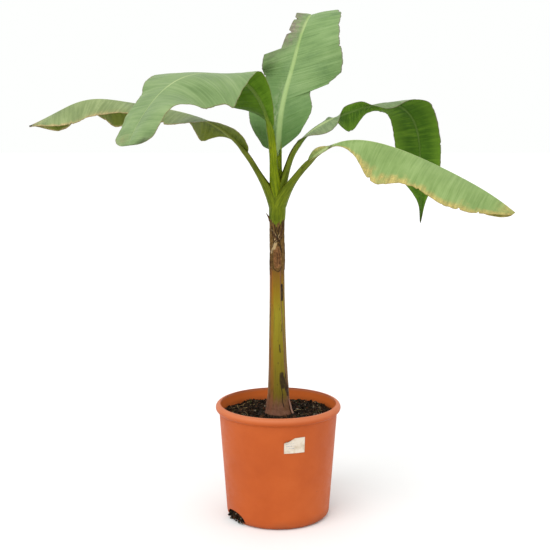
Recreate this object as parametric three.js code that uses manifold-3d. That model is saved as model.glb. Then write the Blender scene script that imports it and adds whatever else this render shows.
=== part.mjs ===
// Potted banana plant: one pseudostem with five leaves, growing in a round
// plastic nursery pot filled with potting soil.
//
// Millimetres, +Z up, the front of the pot (the side with the label) towards -Y.
// The origin is the middle of the pot's flat underside.
//
// Every loose face-to-face joint keeps JOINT of air, so that no two solids touch.
import * as THREE from 'three';
import { mergeVertices } from 'three/addons/utils/BufferGeometryUtils.js';
import Module from 'manifold-3d';

const wasm = await Module();
wasm.setup();

const JOINT = 0.3;
const RAD = Math.PI / 180;

// ------------------------------------------------------------ named sizes

// 15 litre nursery pot: straight tapered wall under a rolled rim.
const POT = {
  height: 275,
  rimRadius: 150, // outside of the rolled rim
  beadRadius: 9.4, // half the height of the rolled rim
  wallTopRadius: 141.7, // outside of the wall just under the rim
  baseRadius: 124,
  cornerRadius: 14,
  wall: 2.6,
  floor: 3,
  lipDrop: 3, // the inner edge of the rim lies this far below its top
  lipDepth: 8, // height of the band under that edge
  sides: 44,
  colour: '#c96834',
};

// Drainage: two low arches in the bottom edge and a ring of round holes.
const ARCH = { width: 78, height: 29, azimuths: [213, 33], depthFrom: 111 };
const DRAIN = { radius: 6, ring: 72, count: 5 };

const SOIL = {
  level: 247, // height of the soil at the pot's wall
  seat: 250, // level spot that the stem is cut to
  seatRadius: 38,
  unevenness: 2.2,
  colour: '#2f2117',
};

// Bare paper label, its upper left corner torn away.
// Corners as [degrees to the right of the front, height].
const LABEL = {
  lowerEdge: 191,
  upperEdge: [[5.5, 217], [9.5, 219], [12.5, 223], [16, 227.5], [21, 228], [26, 228]],
  stand: 0.45, // off the wall, which is faceted
  thickness: 0.6,
  colour: '#efe2cd',
};

// Pseudostem: [height, radius, x of the axis]. It flares at the soil, leans a
// little to the left and widens a trifle again where the leaf stalks part.
const STEM = {
  sections: [
    [SOIL.seat + JOINT, 33, 1.5], [262, 29.5, 1.4], [285, 26.5, 1.2], [320, 24.3, 0.6],
    [380, 21.6, -0.8], [452, 19.6, -2.2], [545, 17.7, -3.0], [640, 17.4, -3.2],
    [700, 17.6, -3.0], [742, 18.4, -2.2],
  ],
  ridge: 0.025, // low ridges where the leaf sheaths overlap, as a share of the radius
  sides: 20,
  colour: '#8d8a35',
};
const CROWN = STEM.sections.at(-1)[0]; // where the leaf stalks start

const STALK = { rootRadius: 6.5, fullRadius: 8.2, endRadius: 6.8, sides: 9, rings: 9, channel: 0.3 };

const BLADE = {
  thickness: 6, // a hundredth of the longest blade
  rib: 7, // half width of the midrib
  ribDepth: 5, // how far the midrib stands out below, at the base of a blade
  rootHalfWidth: 6,
  tipHalfWidth: 3.5,
  forward: 0.06, // how far the side veins run on towards the tip, as a share of the half width
  across: [0, 0.33, 0.67, 1], // stations from the edge of the midrib to the margin
  along: 12, // stations along each piece of a blade
  tearHalf: 0.006, // half the length of a tear's step, as a share of the blade
  closest: 0.004, // stations closer than this share are dropped
};

// The leaves. Stalk and blade follow one line from `start` at the crown.
//   length     stalk and blade together
//   lift       slope of the line in degrees at even steps along it
//   bearing    compass direction of the line in degrees at even steps (0 = +X, 90 = +Y)
//   blade      share of the length at which the blade begins
//   width      half width of a full half blade
//   round      shares of the blade over which the base and the tip round off
//   left,right for each half of the blade, seen from above with the tip away:
//              curl     = degrees that it bends over from midrib to margin, at even steps
//              tear     = [where, share of the width before, share after]
//              stations = [where, degrees that it stands up, share of the half width, lean],
//                         one only where the shape of the half turns; lean is how far the
//                         side veins run forward, as a share of the width, and may be left out
//   split      share of the blade where it is parted in two pieces, at its bend
const [RISE, WIDE, LEAN] = [1, 2, 3]; // columns of a half's stations
const LEAVES = {
  back: {
    start: [0, 12], length: 700,
    lift: [90, 85, 75, 65, 65, 20, -70, -80],
    bearing: [120, 70, 50, 80, 140],
    blade: 0.19, width: 110, round: [0.02, 0.3], split: 0.67,
    left: {
      curl: [-20], tear: [0.47, 1, 0.5],
      stations: [
        [0, -10, 0.3], [0.15, 0, 0.8], [0.3, 0, 0.7], [0.45, 20, 0.7, -0.6], [0.6, 10, 0.6],
        [1, 0, 1.2],
      ],
    },
    right: {
      curl: [-10], tear: [0.21, 0.6, 1],
      stations: [
        [0, 0, 0.7, 0.6], [0.1, -10, 1.1, 0.5], [0.21, -20, 0.9, 0.5], [0.28, -20, 1.1, 0.4],
        [0.5, 0, 0.9, 0.2], [0.6, 10, 0.8], [0.7, 10, 0.4], [1, 0, 0.3],
      ],
    },
    colour: '#7fa65a',
  },
  front: {
    start: [-10, -8], length: 730,
    lift: [90, 85, 55, 10, -10, -40, -60],
    bearing: [-130],
    blade: 0.25, width: 100, round: [0.02, 0.05], split: 0.34,
    left: {
      curl: [0, -50, -20],
      stations: [
        [0, 60, 0.1], [0.2, 40, 0.4], [0.3, 10, 0.6], [0.4, -20, 1, 0.2], [0.5, -30, 1.4, 0.2],
        [0.6, -30, 1.2], [0.7, -30, 1], [0.85, 10, 1], [1, 10, 0.8],
      ],
    },
    right: {
      curl: [-10],
      stations: [
        [0, 50, 0.1], [0.1, 0, 1], [0.4, 0, 1.2], [0.52, 0, 1.3], [0.62, 0, 1], [0.75, -10, 0.7],
        [1, -10, 0.6],
      ],
    },
    colour: '#7da462',
  },
  left: {
    start: [-13, 6], length: 710,
    lift: [75, 60, 40, 15, 10, 5, -25, -25],
    bearing: [-170, -190, -180],
    blade: 0.2, width: 95, round: [0.02, 0.4], split: 0.44,
    left: {
      curl: [-20],
      stations: [
        [0, 40, 0.2], [0.15, 10, 0.8], [0.3, -20, 0.9], [0.5, -20, 0.7], [0.8, -40, 0.9],
        [1, -10, 0.9],
      ],
    },
    right: {
      curl: [-20],
      stations: [
        [0, 0, 0.1], [0.1, -20, 0.3], [0.22, -30, 1.2], [0.35, -10, 1.2], [0.5, -20, 1],
        [0.65, -30, 1.4], [0.8, -10, 1.2], [0.92, -30, 1.2], [1, 0, 1.2],
      ],
    },
    colour: '#8ea366',
  },
  right: {
    start: [10, 1], length: 750,
    lift: [90, 76, 40, 20, 10, -40, -80, -85, -95],
    bearing: [10, 10, 20, 50, 50],
    blade: 0.2, width: 90, round: [0.02, 0.5], split: 0.47,
    left: {
      curl: [-10],
      stations: [
        [0, 0, 0.1], [0.15, 20, 0.1], [0.24, -50, 0.7], [0.33, -40, 0.3], [0.38, -40, 0.3],
        [0.45, -20, 0.6], [0.8, 0, 0.8], [0.92, 0, 0.2], [1, 0, 0.1],
      ],
    },
    right: {
      curl: [-10],
      stations: [
        [0, 50, 0.1], [0.1, -40, 0.3], [0.17, -40, 0.3], [0.24, 60, 0.2], [0.3, 60, 0.2],
        [0.36, -20, 0.2], [0.42, 0, 0.8], [0.6, 30, 0.6], [0.8, 30, 0.6], [0.92, 30, 0.2],
        [1, 30, 0.1],
      ],
    },
    colour: '#6f9552',
  },
  low: {
    start: [3.5, -11.5], length: 650,
    lift: [70, 50, 30, -5, -20, -25, -30, -40],
    bearing: [-30, -20, -10],
    blade: 0.2, width: 100, round: [0.02, 0.3], split: 0.45,
    left: {
      curl: [-20],
      stations: [
        [0, 60, 0.1], [0.06, 60, 0.2], [0.16, 0, 0.1], [0.35, -50, 1], [0.6, -40, 0.9],
        [1, -50, 0.8],
      ],
    },
    right: {
      curl: [-20],
      stations: [
        [0, 0, 0.1], [0.1, -40, 0.1], [0.16, -40, 0.1], [0.24, -40, 0.4], [0.4, -40, 1.2],
        [0.55, -30, 1.1], [0.75, -30, 1.2], [1, -40, 0.5],
      ],
    },
    colour: '#9aab5c',
  },
};

// ------------------------------------------------------------ small tools

const group = new THREE.Group();
group.name = 'banana_plant';

function add(name, geometry, colour, roughness = 0.7) {
  const material = new THREE.MeshStandardMaterial({ color: colour, roughness });
  const mesh = new THREE.Mesh(geometry, material);
  mesh.name = name;
  group.add(mesh);
}

const mix = (a, b, t) => a + (b - a) * t;
const clamp = (x, lo, hi) => Math.min(hi, Math.max(lo, x));

// Smooth curve through values at even steps, t from 0 to 1.
function through(values, t) {
  const n = values.length - 1;
  if (n === 0) return values[0];
  const x = clamp(t, 0, 1) * n;
  const i = Math.min(Math.floor(x), n - 1);
  const f = x - i;
  const b = values[i];
  const c = values[i + 1];
  const a = i > 0 ? values[i - 1] : 2 * b - c;
  const d = i < n - 1 ? values[i + 2] : 2 * c - b;
  const [square, cube] = [2 * a - 5 * b + 4 * c - d, 3 * b - a - 3 * c + d];
  return 0.5 * (2 * b + (c - a) * f + square * f ** 2 + cube * f ** 3);
}

// Smooth curve through one column of [where, values...] rows, at any spacing.
function between(rows, t, column) {
  const value = (i) => rows[i][column] ?? 0;
  // slope of the curve at row i, from its neighbours
  const slope = (i) => {
    const [lo, hi] = [Math.max(i - 1, 0), Math.min(i + 1, rows.length - 1)];
    return (value(hi) - value(lo)) / (rows[hi][0] - rows[lo][0]);
  };
  const x = clamp(t, rows[0][0], rows.at(-1)[0]);
  let i = 0;
  while (i < rows.length - 2 && rows[i + 1][0] <= x) i += 1;
  const h = rows[i + 1][0] - rows[i][0];
  const f = (x - rows[i][0]) / h;
  const g = 1 - f;
  return (1 + 2 * f) * g * g * value(i) + f * g * g * h * slope(i)
    + f * f * (3 - 2 * f) * value(i + 1) - f * f * g * h * slope(i + 1);
}

// Straight lines through [x, y...] rows.
function along(rows, x, column = 1) {
  let i = 1;
  while (i < rows.length - 1 && rows[i][0] < x) i += 1;
  const [lo, hi] = [rows[i - 1], rows[i]];
  return mix(lo[column], hi[column], clamp((x - lo[0]) / (hi[0] - lo[0]), 0, 1));
}

function geometryOf(points, triangles) {
  const geometry = new THREE.BufferGeometry();
  const numbers = points.flatMap((p) => [p.x, p.y, p.z]);
  geometry.setAttribute('position', new THREE.Float32BufferAttribute(numbers, 3));
  geometry.setIndex(triangles.flat());
  return geometry;
}

// Closed solid through rings of points, anticlockwise seen from the last ring.
function skin(rings) {
  const n = rings[0].length;
  const points = rings.flat();
  const triangles = [];
  for (let k = 0; k + 1 < rings.length; k += 1) {
    for (let i = 0; i < n; i += 1) {
      const j = (i + 1) % n;
      const [a, b, c, d] = [k * n + i, k * n + j, (k + 1) * n + j, (k + 1) * n + i];
      triangles.push([a, b, c], [a, c, d]);
    }
  }
  for (const [k, turned] of [[0, true], [rings.length - 1, false]]) {
    const middle = rings[k].reduce((s, p) => s.add(p), new THREE.Vector3()).divideScalar(n);
    points.push(middle);
    for (let i = 0; i < n; i += 1) {
      const [a, b] = [k * n + i, k * n + ((i + 1) % n)];
      triangles.push(turned ? [points.length - 1, b, a] : [points.length - 1, a, b]);
    }
  }
  return geometryOf(points, triangles);
}

// Closed sheet between an upper and a lower grid of points, rows by columns.
function slab(upper, lower) {
  const rows = upper.length;
  const cols = upper[0].length;
  const points = [...upper.flat(), ...lower.flat()];
  const top = (i, j) => i * cols + j;
  const low = (i, j) => rows * cols + i * cols + j;
  const triangles = [];
  const quad = (a, b, c, d) => triangles.push([a, b, c], [a, c, d]);
  for (let i = 0; i + 1 < rows; i += 1) {
    for (let j = 0; j + 1 < cols; j += 1) {
      quad(top(i, j), top(i, j + 1), top(i + 1, j + 1), top(i + 1, j));
      quad(low(i, j), low(i + 1, j), low(i + 1, j + 1), low(i, j + 1));
    }
    quad(top(i, 0), top(i + 1, 0), low(i + 1, 0), low(i, 0));
    quad(top(i + 1, cols - 1), top(i, cols - 1), low(i, cols - 1), low(i + 1, cols - 1));
  }
  for (let j = 0; j + 1 < cols; j += 1) {
    quad(top(0, j + 1), top(0, j), low(0, j), low(0, j + 1));
    quad(top(rows - 1, j), top(rows - 1, j + 1), low(rows - 1, j + 1), low(rows - 1, j));
  }
  return geometryOf(points, triangles);
}

function toManifold(geometry) {
  const g = geometry.clone();
  g.deleteAttribute('normal');
  g.deleteAttribute('uv');
  const m = mergeVertices(g, 1e-4);
  return new wasm.Manifold(new wasm.Mesh({
    numProp: 3,
    vertProperties: new Float32Array(m.attributes.position.array),
    triVerts: new Uint32Array(m.index.array),
  }));
}

function fromManifold(solid) {
  const mesh = solid.getMesh();
  const geometry = new THREE.BufferGeometry();
  geometry.setAttribute('position', new THREE.BufferAttribute(mesh.vertProperties.slice(), 3));
  geometry.setIndex(new THREE.BufferAttribute(mesh.triVerts.slice(), 1));
  return geometry;
}

// ------------------------------------------------------------ pot

const beadBottom = POT.height - 2 * POT.beadRadius;
const beadCentre = POT.rimRadius - POT.beadRadius;

// Outside radius of the straight wall at height z.
const wallRadius = (z) => mix(POT.baseRadius, POT.wallTopRadius,
  (z - POT.cornerRadius) / (beadBottom - POT.cornerRadius));
const innerRadius = (z) => wallRadius(z) - POT.wall;

// Round ring of `sides` points at height z; radius and height may vary round it.
function ring(radius, z, sides, x = 0) {
  return Array.from({ length: sides }, (_, i) => {
    const a = (i / sides) * 2 * Math.PI;
    const r = typeof radius === 'function' ? radius(a) : radius;
    return new THREE.Vector3(x + r * Math.cos(a), r * Math.sin(a), typeof z === 'function' ? z(a, r) : z);
  });
}

// [radius, height] up the inside of the pot, from the floor to `top`.
function insideProfile(top, gap) {
  const round = POT.cornerRadius - POT.wall;
  const floor = POT.floor + gap;
  const edge = innerRadius(POT.cornerRadius) - gap;
  return [[edge - round, floor], [edge - round * 0.3, floor + round * 0.3], [edge, floor + round],
    [innerRadius(top) - gap, top]];
}

function potProfile() {
  const profile = [];
  const corner = POT.baseRadius - POT.cornerRadius;
  for (const a of [-90, -62, -34, -4]) {
    profile.push([corner + POT.cornerRadius * Math.cos(a * RAD),
      POT.cornerRadius * (1 + Math.sin(a * RAD))]);
  }
  profile.push([POT.wallTopRadius, beadBottom]);
  for (const a of [-60, -30, 0, 30, 60, 90]) {
    profile.push([beadCentre + POT.beadRadius * Math.cos(a * RAD),
      POT.height - POT.beadRadius * (1 - Math.sin(a * RAD))]);
  }
  const lip = POT.height - POT.lipDrop;
  profile.push([innerRadius(lip), lip]);
  return [...profile, ...insideProfile(lip - POT.lipDepth, 0).reverse()];
}

function archCutter(azimuth) {
  const outline = new THREE.Shape();
  const half = ARCH.width / 2;
  outline.moveTo(-half, -1);
  outline.lineTo(half, -1);
  for (let k = 0; k <= 10; k += 1) {
    const a = (k / 10) * Math.PI;
    outline.lineTo(half * Math.cos(a), ARCH.height * Math.max(Math.sin(a), 0) ** 0.7);
  }
  const length = POT.rimRadius - ARCH.depthFrom;
  const g = new THREE.ExtrudeGeometry(outline, { depth: length, bevelEnabled: false, curveSegments: 1 });
  // the outline stands upright and is drawn out along +Y, then turned to its place
  g.rotateX(Math.PI / 2);
  g.rotateZ(Math.PI);
  g.translate(0, ARCH.depthFrom, 0);
  g.rotateZ(azimuth * RAD - Math.PI / 2);
  return g;
}

let pot = toManifold(skin(potProfile().map(([r, z]) => ring(r, z, POT.sides))));
for (const azimuth of ARCH.azimuths) pot = pot.subtract(toManifold(archCutter(azimuth)));
for (let k = 0; k < DRAIN.count; k += 1) {
  const a = (k / DRAIN.count) * 2 * Math.PI;
  const hole = new THREE.CylinderGeometry(DRAIN.radius, DRAIN.radius, 4 * POT.floor, 12);
  hole.rotateX(Math.PI / 2);
  hole.translate(DRAIN.ring * Math.cos(a), DRAIN.ring * Math.sin(a), POT.floor / 2);
  pot = pot.subtract(toManifold(hole));
}
add('pot', fromManifold(pot), POT.colour, 0.55);

// ------------------------------------------------------------ soil

// Height of the soil: level where the stem stands, uneven further out.
function soilHeight(angle, radius) {
  const out = clamp((radius - SOIL.seatRadius) / (innerRadius(SOIL.level) - SOIL.seatRadius), 0, 1);
  const waves = Math.sin(3 * angle + radius / 23) + Math.sin(5 * angle - radius / 17);
  return mix(SOIL.seat, SOIL.level, out) + SOIL.unevenness * 0.5 * waves * Math.sin(Math.PI * out) ** 0.5;
}

{
  const sides = insideProfile(SOIL.level, JOINT).map(([r, z]) => ring(r, z, POT.sides));
  const tops = [124, 106, 86, 66, 50, SOIL.seatRadius].map((r) => ring(r, soilHeight, POT.sides));
  add('soil', skin([...sides, ...tops]), SOIL.colour, 0.95);
}

// ------------------------------------------------------------ label

{
  const inner = [];
  const outer = [];
  for (const share of [0, 0.5, 1]) {
    const rows = LABEL.upperEdge.map(([degrees, top]) => {
      const z = mix(LABEL.lowerEdge, top, share);
      const a = (degrees - 90) * RAD;
      const at = (r) => new THREE.Vector3(r * Math.cos(a), r * Math.sin(a), z);
      const r = wallRadius(z) + LABEL.stand;
      return [at(r), at(r + LABEL.thickness)];
    });
    inner.push(rows.map((p) => p[0]));
    outer.push(rows.map((p) => p[1]));
  }
  add('label', slab(outer, inner), LABEL.colour, 0.8);
}

// ------------------------------------------------------------ pseudostem

add('pseudostem', skin(STEM.sections.map(([z, r, x]) => ring(
  (a) => r * (1 + STEM.ridge * Math.cos(3 * a + z / 90)), z, STEM.sides, x))), STEM.colour, 0.75);

// ------------------------------------------------------------ leaves

// Direction, left and up of the line at slope `lift` and compass `bearing`.
function frame(lift, bearing) {
  const [l, b] = [lift * RAD, bearing * RAD];
  const ahead = new THREE.Vector3(Math.cos(l) * Math.cos(b), Math.cos(l) * Math.sin(b), Math.sin(l));
  const left = new THREE.Vector3(-Math.sin(b), Math.cos(b), 0);
  return { ahead, left, up: new THREE.Vector3().crossVectors(ahead, left) };
}

// Walks the line of a leaf in short steps and returns the point at share u.
function lineOf(leaf, steps = 120) {
  const points = [new THREE.Vector3(leaf.start[0], leaf.start[1], CROWN)];
  for (let k = 0; k < steps; k += 1) {
    const u = (k + 0.5) / steps;
    const { ahead } = frame(through(leaf.lift, u), through(leaf.bearing, u));
    points.push(points[k].clone().addScaledVector(ahead, leaf.length / steps));
  }
  return (u) => {
    const x = clamp(u, 0, 1) * steps;
    const i = Math.min(Math.floor(x), steps - 1);
    return points[i].clone().lerp(points[i + 1], x - i);
  };
}

function stalkSolid(leaf, line) {
  const end = leaf.blade - JOINT / leaf.length;
  const rings = [];
  for (let k = 0; k <= STALK.rings; k += 1) {
    const share = k / STALK.rings;
    const u = share * end;
    const { ahead, left, up } = frame(through(leaf.lift, u), through(leaf.bearing, u));
    const radius = along([[0, STALK.rootRadius], [0.25, STALK.fullRadius], [1, STALK.endRadius]], share);
    const centre = line(u);
    const points = [];
    for (let i = 0; i < STALK.sides; i += 1) {
      const a = (i / STALK.sides) * 2 * Math.PI;
      // the upper side of a stalk is a shallow channel
      const r = radius * (1 - STALK.channel * Math.max(0, Math.sin(a)) ** 2);
      const p = centre.clone().addScaledVector(left, r * Math.cos(a)).addScaledVector(up, r * Math.sin(a));
      // the root is cut level, just clear of the stem's top
      if (k === 0) p.addScaledVector(ahead, (CROWN + JOINT - p.z) / ahead.z);
      points.push(p);
    }
    rings.push(points);
  }
  return skin(rings);
}

// Half width of a blade at share t, as a share of its full half width.
function widthAt(leaf, half, t) {
  const [base, tip] = leaf.round;
  const a = clamp(t / base, 0, 1);
  const b = clamp((1 - t) / tip, 0, 1);
  let share = Math.sqrt(1 - (1 - a) ** 2) * Math.sqrt(1 - (1 - b) ** 2) * between(half.stations, t, WIDE);
  if (half.tear) share *= t < half.tear[0] ? half.tear[1] : half.tear[2];
  return share;
}

// Shares along a blade piece, with a close pair at each tear.
function stations(leaf, from, to) {
  const list = Array.from({ length: BLADE.along + 1 }, (_, k) => mix(from, to, k / BLADE.along));
  for (const half of [leaf.left, leaf.right]) {
    if (half.tear && half.tear[0] > from && half.tear[0] < to) {
      list.push(half.tear[0] - BLADE.tearHalf, half.tear[0] + BLADE.tearHalf);
    }
  }
  const sorted = list.sort((p, q) => p - q);
  return sorted.filter((t, i) => i === 0 || t - sorted[i - 1] > BLADE.closest);
}

// Points of one half across the blade, from the midrib out, and the sheet's normals.
function halfRow(leaf, half, side, t, centre, { ahead, left, up }) {
  const least = mix(BLADE.rootHalfWidth, BLADE.tipHalfWidth, t);
  const width = Math.max(least, leaf.width * widthAt(leaf, half, t));
  const rise = between(half.stations, t, RISE) * RAD;
  const lean = between(half.stations, t, LEAN);
  const curl = through(half.curl, t) * RAD;
  const rib = Math.min(BLADE.rib / width, 0.45);
  return BLADE.across.map((share) => {
    const v = mix(rib, 1, share);
    // the half bends evenly, so its cross-section is an arc
    const a0 = rise - curl / 2;
    const a1 = a0 + curl * v;
    const out = Math.abs(curl) < 1e-6 ? v * Math.cos(rise) : (Math.sin(a1) - Math.sin(a0)) / curl;
    const high = Math.abs(curl) < 1e-6 ? v * Math.sin(rise) : (Math.cos(a0) - Math.cos(a1)) / curl;
    const point = centre.clone()
      .addScaledVector(left, side * out * width)
      .addScaledVector(up, high * width)
      .addScaledVector(ahead, (BLADE.forward * v + lean) * v * width);
    const normal = new THREE.Vector3()
      .addScaledVector(left, -side * Math.sin(a1))
      .addScaledVector(up, Math.cos(a1));
    return { point, normal };
  });
}

function bladeSolid(leaf, line, from, to) {
  const upper = [];
  const lower = [];
  for (const t of stations(leaf, from, to)) {
    const u = mix(leaf.blade, 1, t);
    const axes = frame(through(leaf.lift, u), through(leaf.bearing, u));
    const centre = line(u);
    const row = [
      ...halfRow(leaf, leaf.left, 1, t, centre, axes).reverse(),
      { point: centre, normal: axes.up, rib: true },
      ...halfRow(leaf, leaf.right, -1, t, centre, axes),
    ];
    const half = BLADE.thickness / 2;
    upper.push(row.map((p) => p.point.clone().addScaledVector(p.normal, half)));
    lower.push(row.map((p) => p.point.clone().addScaledVector(p.normal,
      -half - (p.rib ? BLADE.ribDepth * (1 - t) : 0))));
  }
  return slab(upper, lower);
}

for (const [name, leaf] of Object.entries(LEAVES)) {
  const line = lineOf(leaf);
  const gap = JOINT / (leaf.length * (1 - leaf.blade));
  add(`petiole_${name}`, stalkSolid(leaf, line), '#7f8c34');
  add(`blade_${name}_inner`, bladeSolid(leaf, line, 0, leaf.split - gap), leaf.colour, 0.6);
  add(`blade_${name}_outer`, bladeSolid(leaf, line, leaf.split + gap, 1), leaf.colour, 0.6);
}

export default group;
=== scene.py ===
"""Potted banana plant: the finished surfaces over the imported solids.

The rules below repeat the named sizes of the part's source. They work in
millimetres, and every mesh is made in metres in the same frame as the solids.
"""

import itertools
import math

import bpy
import numpy as np
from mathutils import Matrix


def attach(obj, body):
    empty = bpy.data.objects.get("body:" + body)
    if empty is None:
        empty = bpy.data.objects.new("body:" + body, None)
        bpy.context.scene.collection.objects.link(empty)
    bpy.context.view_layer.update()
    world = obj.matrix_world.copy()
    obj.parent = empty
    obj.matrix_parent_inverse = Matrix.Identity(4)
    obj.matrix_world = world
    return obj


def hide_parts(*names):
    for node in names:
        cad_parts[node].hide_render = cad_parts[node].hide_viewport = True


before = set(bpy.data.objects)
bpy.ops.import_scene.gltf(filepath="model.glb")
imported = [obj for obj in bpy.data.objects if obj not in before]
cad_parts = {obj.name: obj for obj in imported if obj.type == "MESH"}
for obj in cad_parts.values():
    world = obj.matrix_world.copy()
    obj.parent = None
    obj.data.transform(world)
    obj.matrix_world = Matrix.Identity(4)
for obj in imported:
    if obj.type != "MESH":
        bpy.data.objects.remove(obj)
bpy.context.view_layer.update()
MM = 0.001

# ------------------------------------------------------------ named sizes

POT = dict(height=275, rim=150, bead=9.4, wall_top=141.7, base=124, corner=14, wall=2.6, floor=3)
ARCH = dict(width=78, height=29, azimuths=(213, 33), depth_from=111)
DRAIN = dict(radius=6, ring=72, count=5)
SOIL = dict(level=247, seat=250, seat_radius=38, gap=0.35)
CRUMBS, ARCH_CRUMBS, FIBRES = 2300, 150, 230  # how many of each are tried
# pseudostem: height, radius and where its axis stands, all in mm
STEM = [
    (250.3, 33, 1.5), (262, 29.5, 1.4), (285, 26.5, 1.2), (320, 24.3, 0.6), (380, 21.6, -0.8),
    (452, 19.6, -2.2), (545, 17.7, -3.0), (640, 17.4, -3.2), (700, 17.6, -3.0), (742, 18.4, -2.2),
]
CROWN, SHEATH_FOOT = 742.0, 676  # heights where the stalks part and where their sheaths begin
NARROW, GIRTH = 18.0, 113.1  # radius and girth of the stem's narrow part
STALK = [[0, 7.6], [0.25, 9.8], [1, 8]]  # radius along a stalk
# the label's sides in degrees right of the front, its foot and its stand-off in mm
LABEL = dict(left=5.5, right=26, low=191, stand=0.45)
LABEL_TOP = [(5.5, 217), (9.5, 219), (12.5, 223), (16, 227.5), (21, 228), (26, 228)]

STEPS = 120  # of a leaf's line
RISE, WIDE, LEAN = 1, 2, 3  # columns of a station
# Start, length, lift and bearing of the line, the blade's share of it, its half width
# and the rounding of its ends, all as in the part's source. A half has a station only
# where its shape turns: (where along the blade, degrees it stands up, share of the
# half width, lean). A tear is (where, share of the width before it, share after it).
LEAVES = {
    "back": dict(
        start=(0, 12), length=700, lift=(90, 85, 75, 65, 65, 20, -70, -80), bearing=(120, 70, 50, 80, 140),
        blade=0.19, width=110, round=(0.02, 0.3),
        left=dict(curl=(-20,), tear=(0.47, 1, 0.5), stations=[
            (0, -10, 0.3), (0.15, 0, 0.8), (0.3, 0, 0.7), (0.45, 20, 0.7, -0.6), (0.6, 10, 0.6), (1, 0, 1.2),
        ]),
        right=dict(curl=(-10,), tear=(0.21, 0.6, 1), stations=[
            (0, 0, 0.7, 0.6), (0.1, -10, 1.1, 0.5), (0.21, -20, 0.9, 0.5), (0.28, -20, 1.1, 0.4),
            (0.5, 0, 0.9, 0.2), (0.6, 10, 0.8), (0.7, 10, 0.4), (1, 0, 0.3),
        ]),
    ),
    "front": dict(
        start=(-10, -8), length=730, lift=(90, 85, 55, 10, -10, -40, -60), bearing=(-130,), blade=0.25,
        width=100, round=(0.02, 0.05),
        left=dict(curl=(0, -50, -20), stations=[
            (0, 60, 0.1), (0.2, 40, 0.4), (0.3, 10, 0.6), (0.4, -20, 1, 0.2), (0.5, -30, 1.4, 0.2),
            (0.6, -30, 1.2), (0.7, -30, 1), (0.85, 10, 1), (1, 10, 0.8),
        ]),
        right=dict(curl=(-10,), stations=[
            (0, 50, 0.1), (0.1, 0, 1), (0.4, 0, 1.2), (0.52, 0, 1.3), (0.62, 0, 1), (0.75, -10, 0.7),
            (1, -10, 0.6),
        ]),
    ),
    "left": dict(
        start=(-13, 6), length=710, lift=(75, 60, 40, 15, 10, 5, -25, -25), bearing=(-170, -190, -180),
        blade=0.2, width=95, round=(0.02, 0.4),
        left=dict(curl=(-20,), stations=[
            (0, 40, 0.2), (0.15, 10, 0.8), (0.3, -20, 0.9), (0.5, -20, 0.7), (0.8, -40, 0.9), (1, -10, 0.9),
        ]),
        right=dict(curl=(-20,), stations=[
            (0, 0, 0.1), (0.1, -20, 0.3), (0.22, -30, 1.2), (0.35, -10, 1.2), (0.5, -20, 1), (0.65, -30, 1.4),
            (0.8, -10, 1.2), (0.92, -30, 1.2), (1, 0, 1.2),
        ]),
    ),
    "right": dict(
        start=(10, 1), length=750, lift=(90, 76, 40, 20, 10, -40, -80, -85, -95),
        bearing=(10, 10, 20, 50, 50), blade=0.2, width=90, round=(0.02, 0.5),
        left=dict(curl=(-10,), stations=[
            (0, 0, 0.1), (0.15, 20, 0.1), (0.24, -50, 0.7), (0.33, -40, 0.3), (0.38, -40, 0.3),
            (0.45, -20, 0.6), (0.8, 0, 0.8), (0.92, 0, 0.2), (1, 0, 0.1),
        ]),
        right=dict(curl=(-10,), stations=[
            (0, 50, 0.1), (0.1, -40, 0.3), (0.17, -40, 0.3), (0.24, 60, 0.2), (0.3, 60, 0.2),
            (0.36, -20, 0.2), (0.42, 0, 0.8), (0.6, 30, 0.6), (0.8, 30, 0.6), (0.92, 30, 0.2), (1, 30, 0.1),
        ]),
    ),
    "low": dict(
        start=(3.5, -11.5), length=650, lift=(70, 50, 30, -5, -20, -25, -30, -40), bearing=(-30, -20, -10),
        blade=0.2, width=100, round=(0.02, 0.3),
        left=dict(curl=(-20,), stations=[
            (0, 60, 0.1), (0.06, 60, 0.2), (0.16, 0, 0.1), (0.35, -50, 1), (0.6, -40, 0.9), (1, -50, 0.8),
        ]),
        right=dict(curl=(-20,), stations=[
            (0, 0, 0.1), (0.1, -40, 0.1), (0.16, -40, 0.1), (0.24, -40, 0.4), (0.4, -40, 1.2),
            (0.55, -30, 1.1), (0.75, -30, 1.2), (1, -40, 0.5),
        ]),
    ),
}

# ------------------------------------------------------------ numbers and noise


def mix(a, b, t):
    return a + (b - a) * t


def smooth(lo, hi, x):
    t = np.clip((np.asarray(x, float) - lo) / (hi - lo), 0, 1)
    return t * t * (3 - 2 * t)


def through(values, t):
    """Smooth curve through values at even steps, as in the part's source."""
    v = np.asarray(values, float)
    t = np.asarray(t, float)
    n = len(v) - 1
    if n == 0:
        return np.full(t.shape, v[0])
    x = np.clip(t, 0, 1) * n
    i = np.minimum(x.astype(int), n - 1)
    f = x - i
    p = np.concatenate([[2 * v[0] - v[1]], v, [2 * v[-1] - v[-2]]])
    a, b, c, d = p[i], p[i + 1], p[i + 2], p[i + 3]
    return 0.5 * (2 * b + (c - a) * f + (2 * a - 5 * b + 4 * c - d) * f**2 + (3 * b - a - 3 * c + d) * f**3)


def neighbours(q):
    """From the value before each one to the value after it."""
    return np.append(q[1:], q[-1]) - np.insert(q[:-1], 0, q[0])


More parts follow.
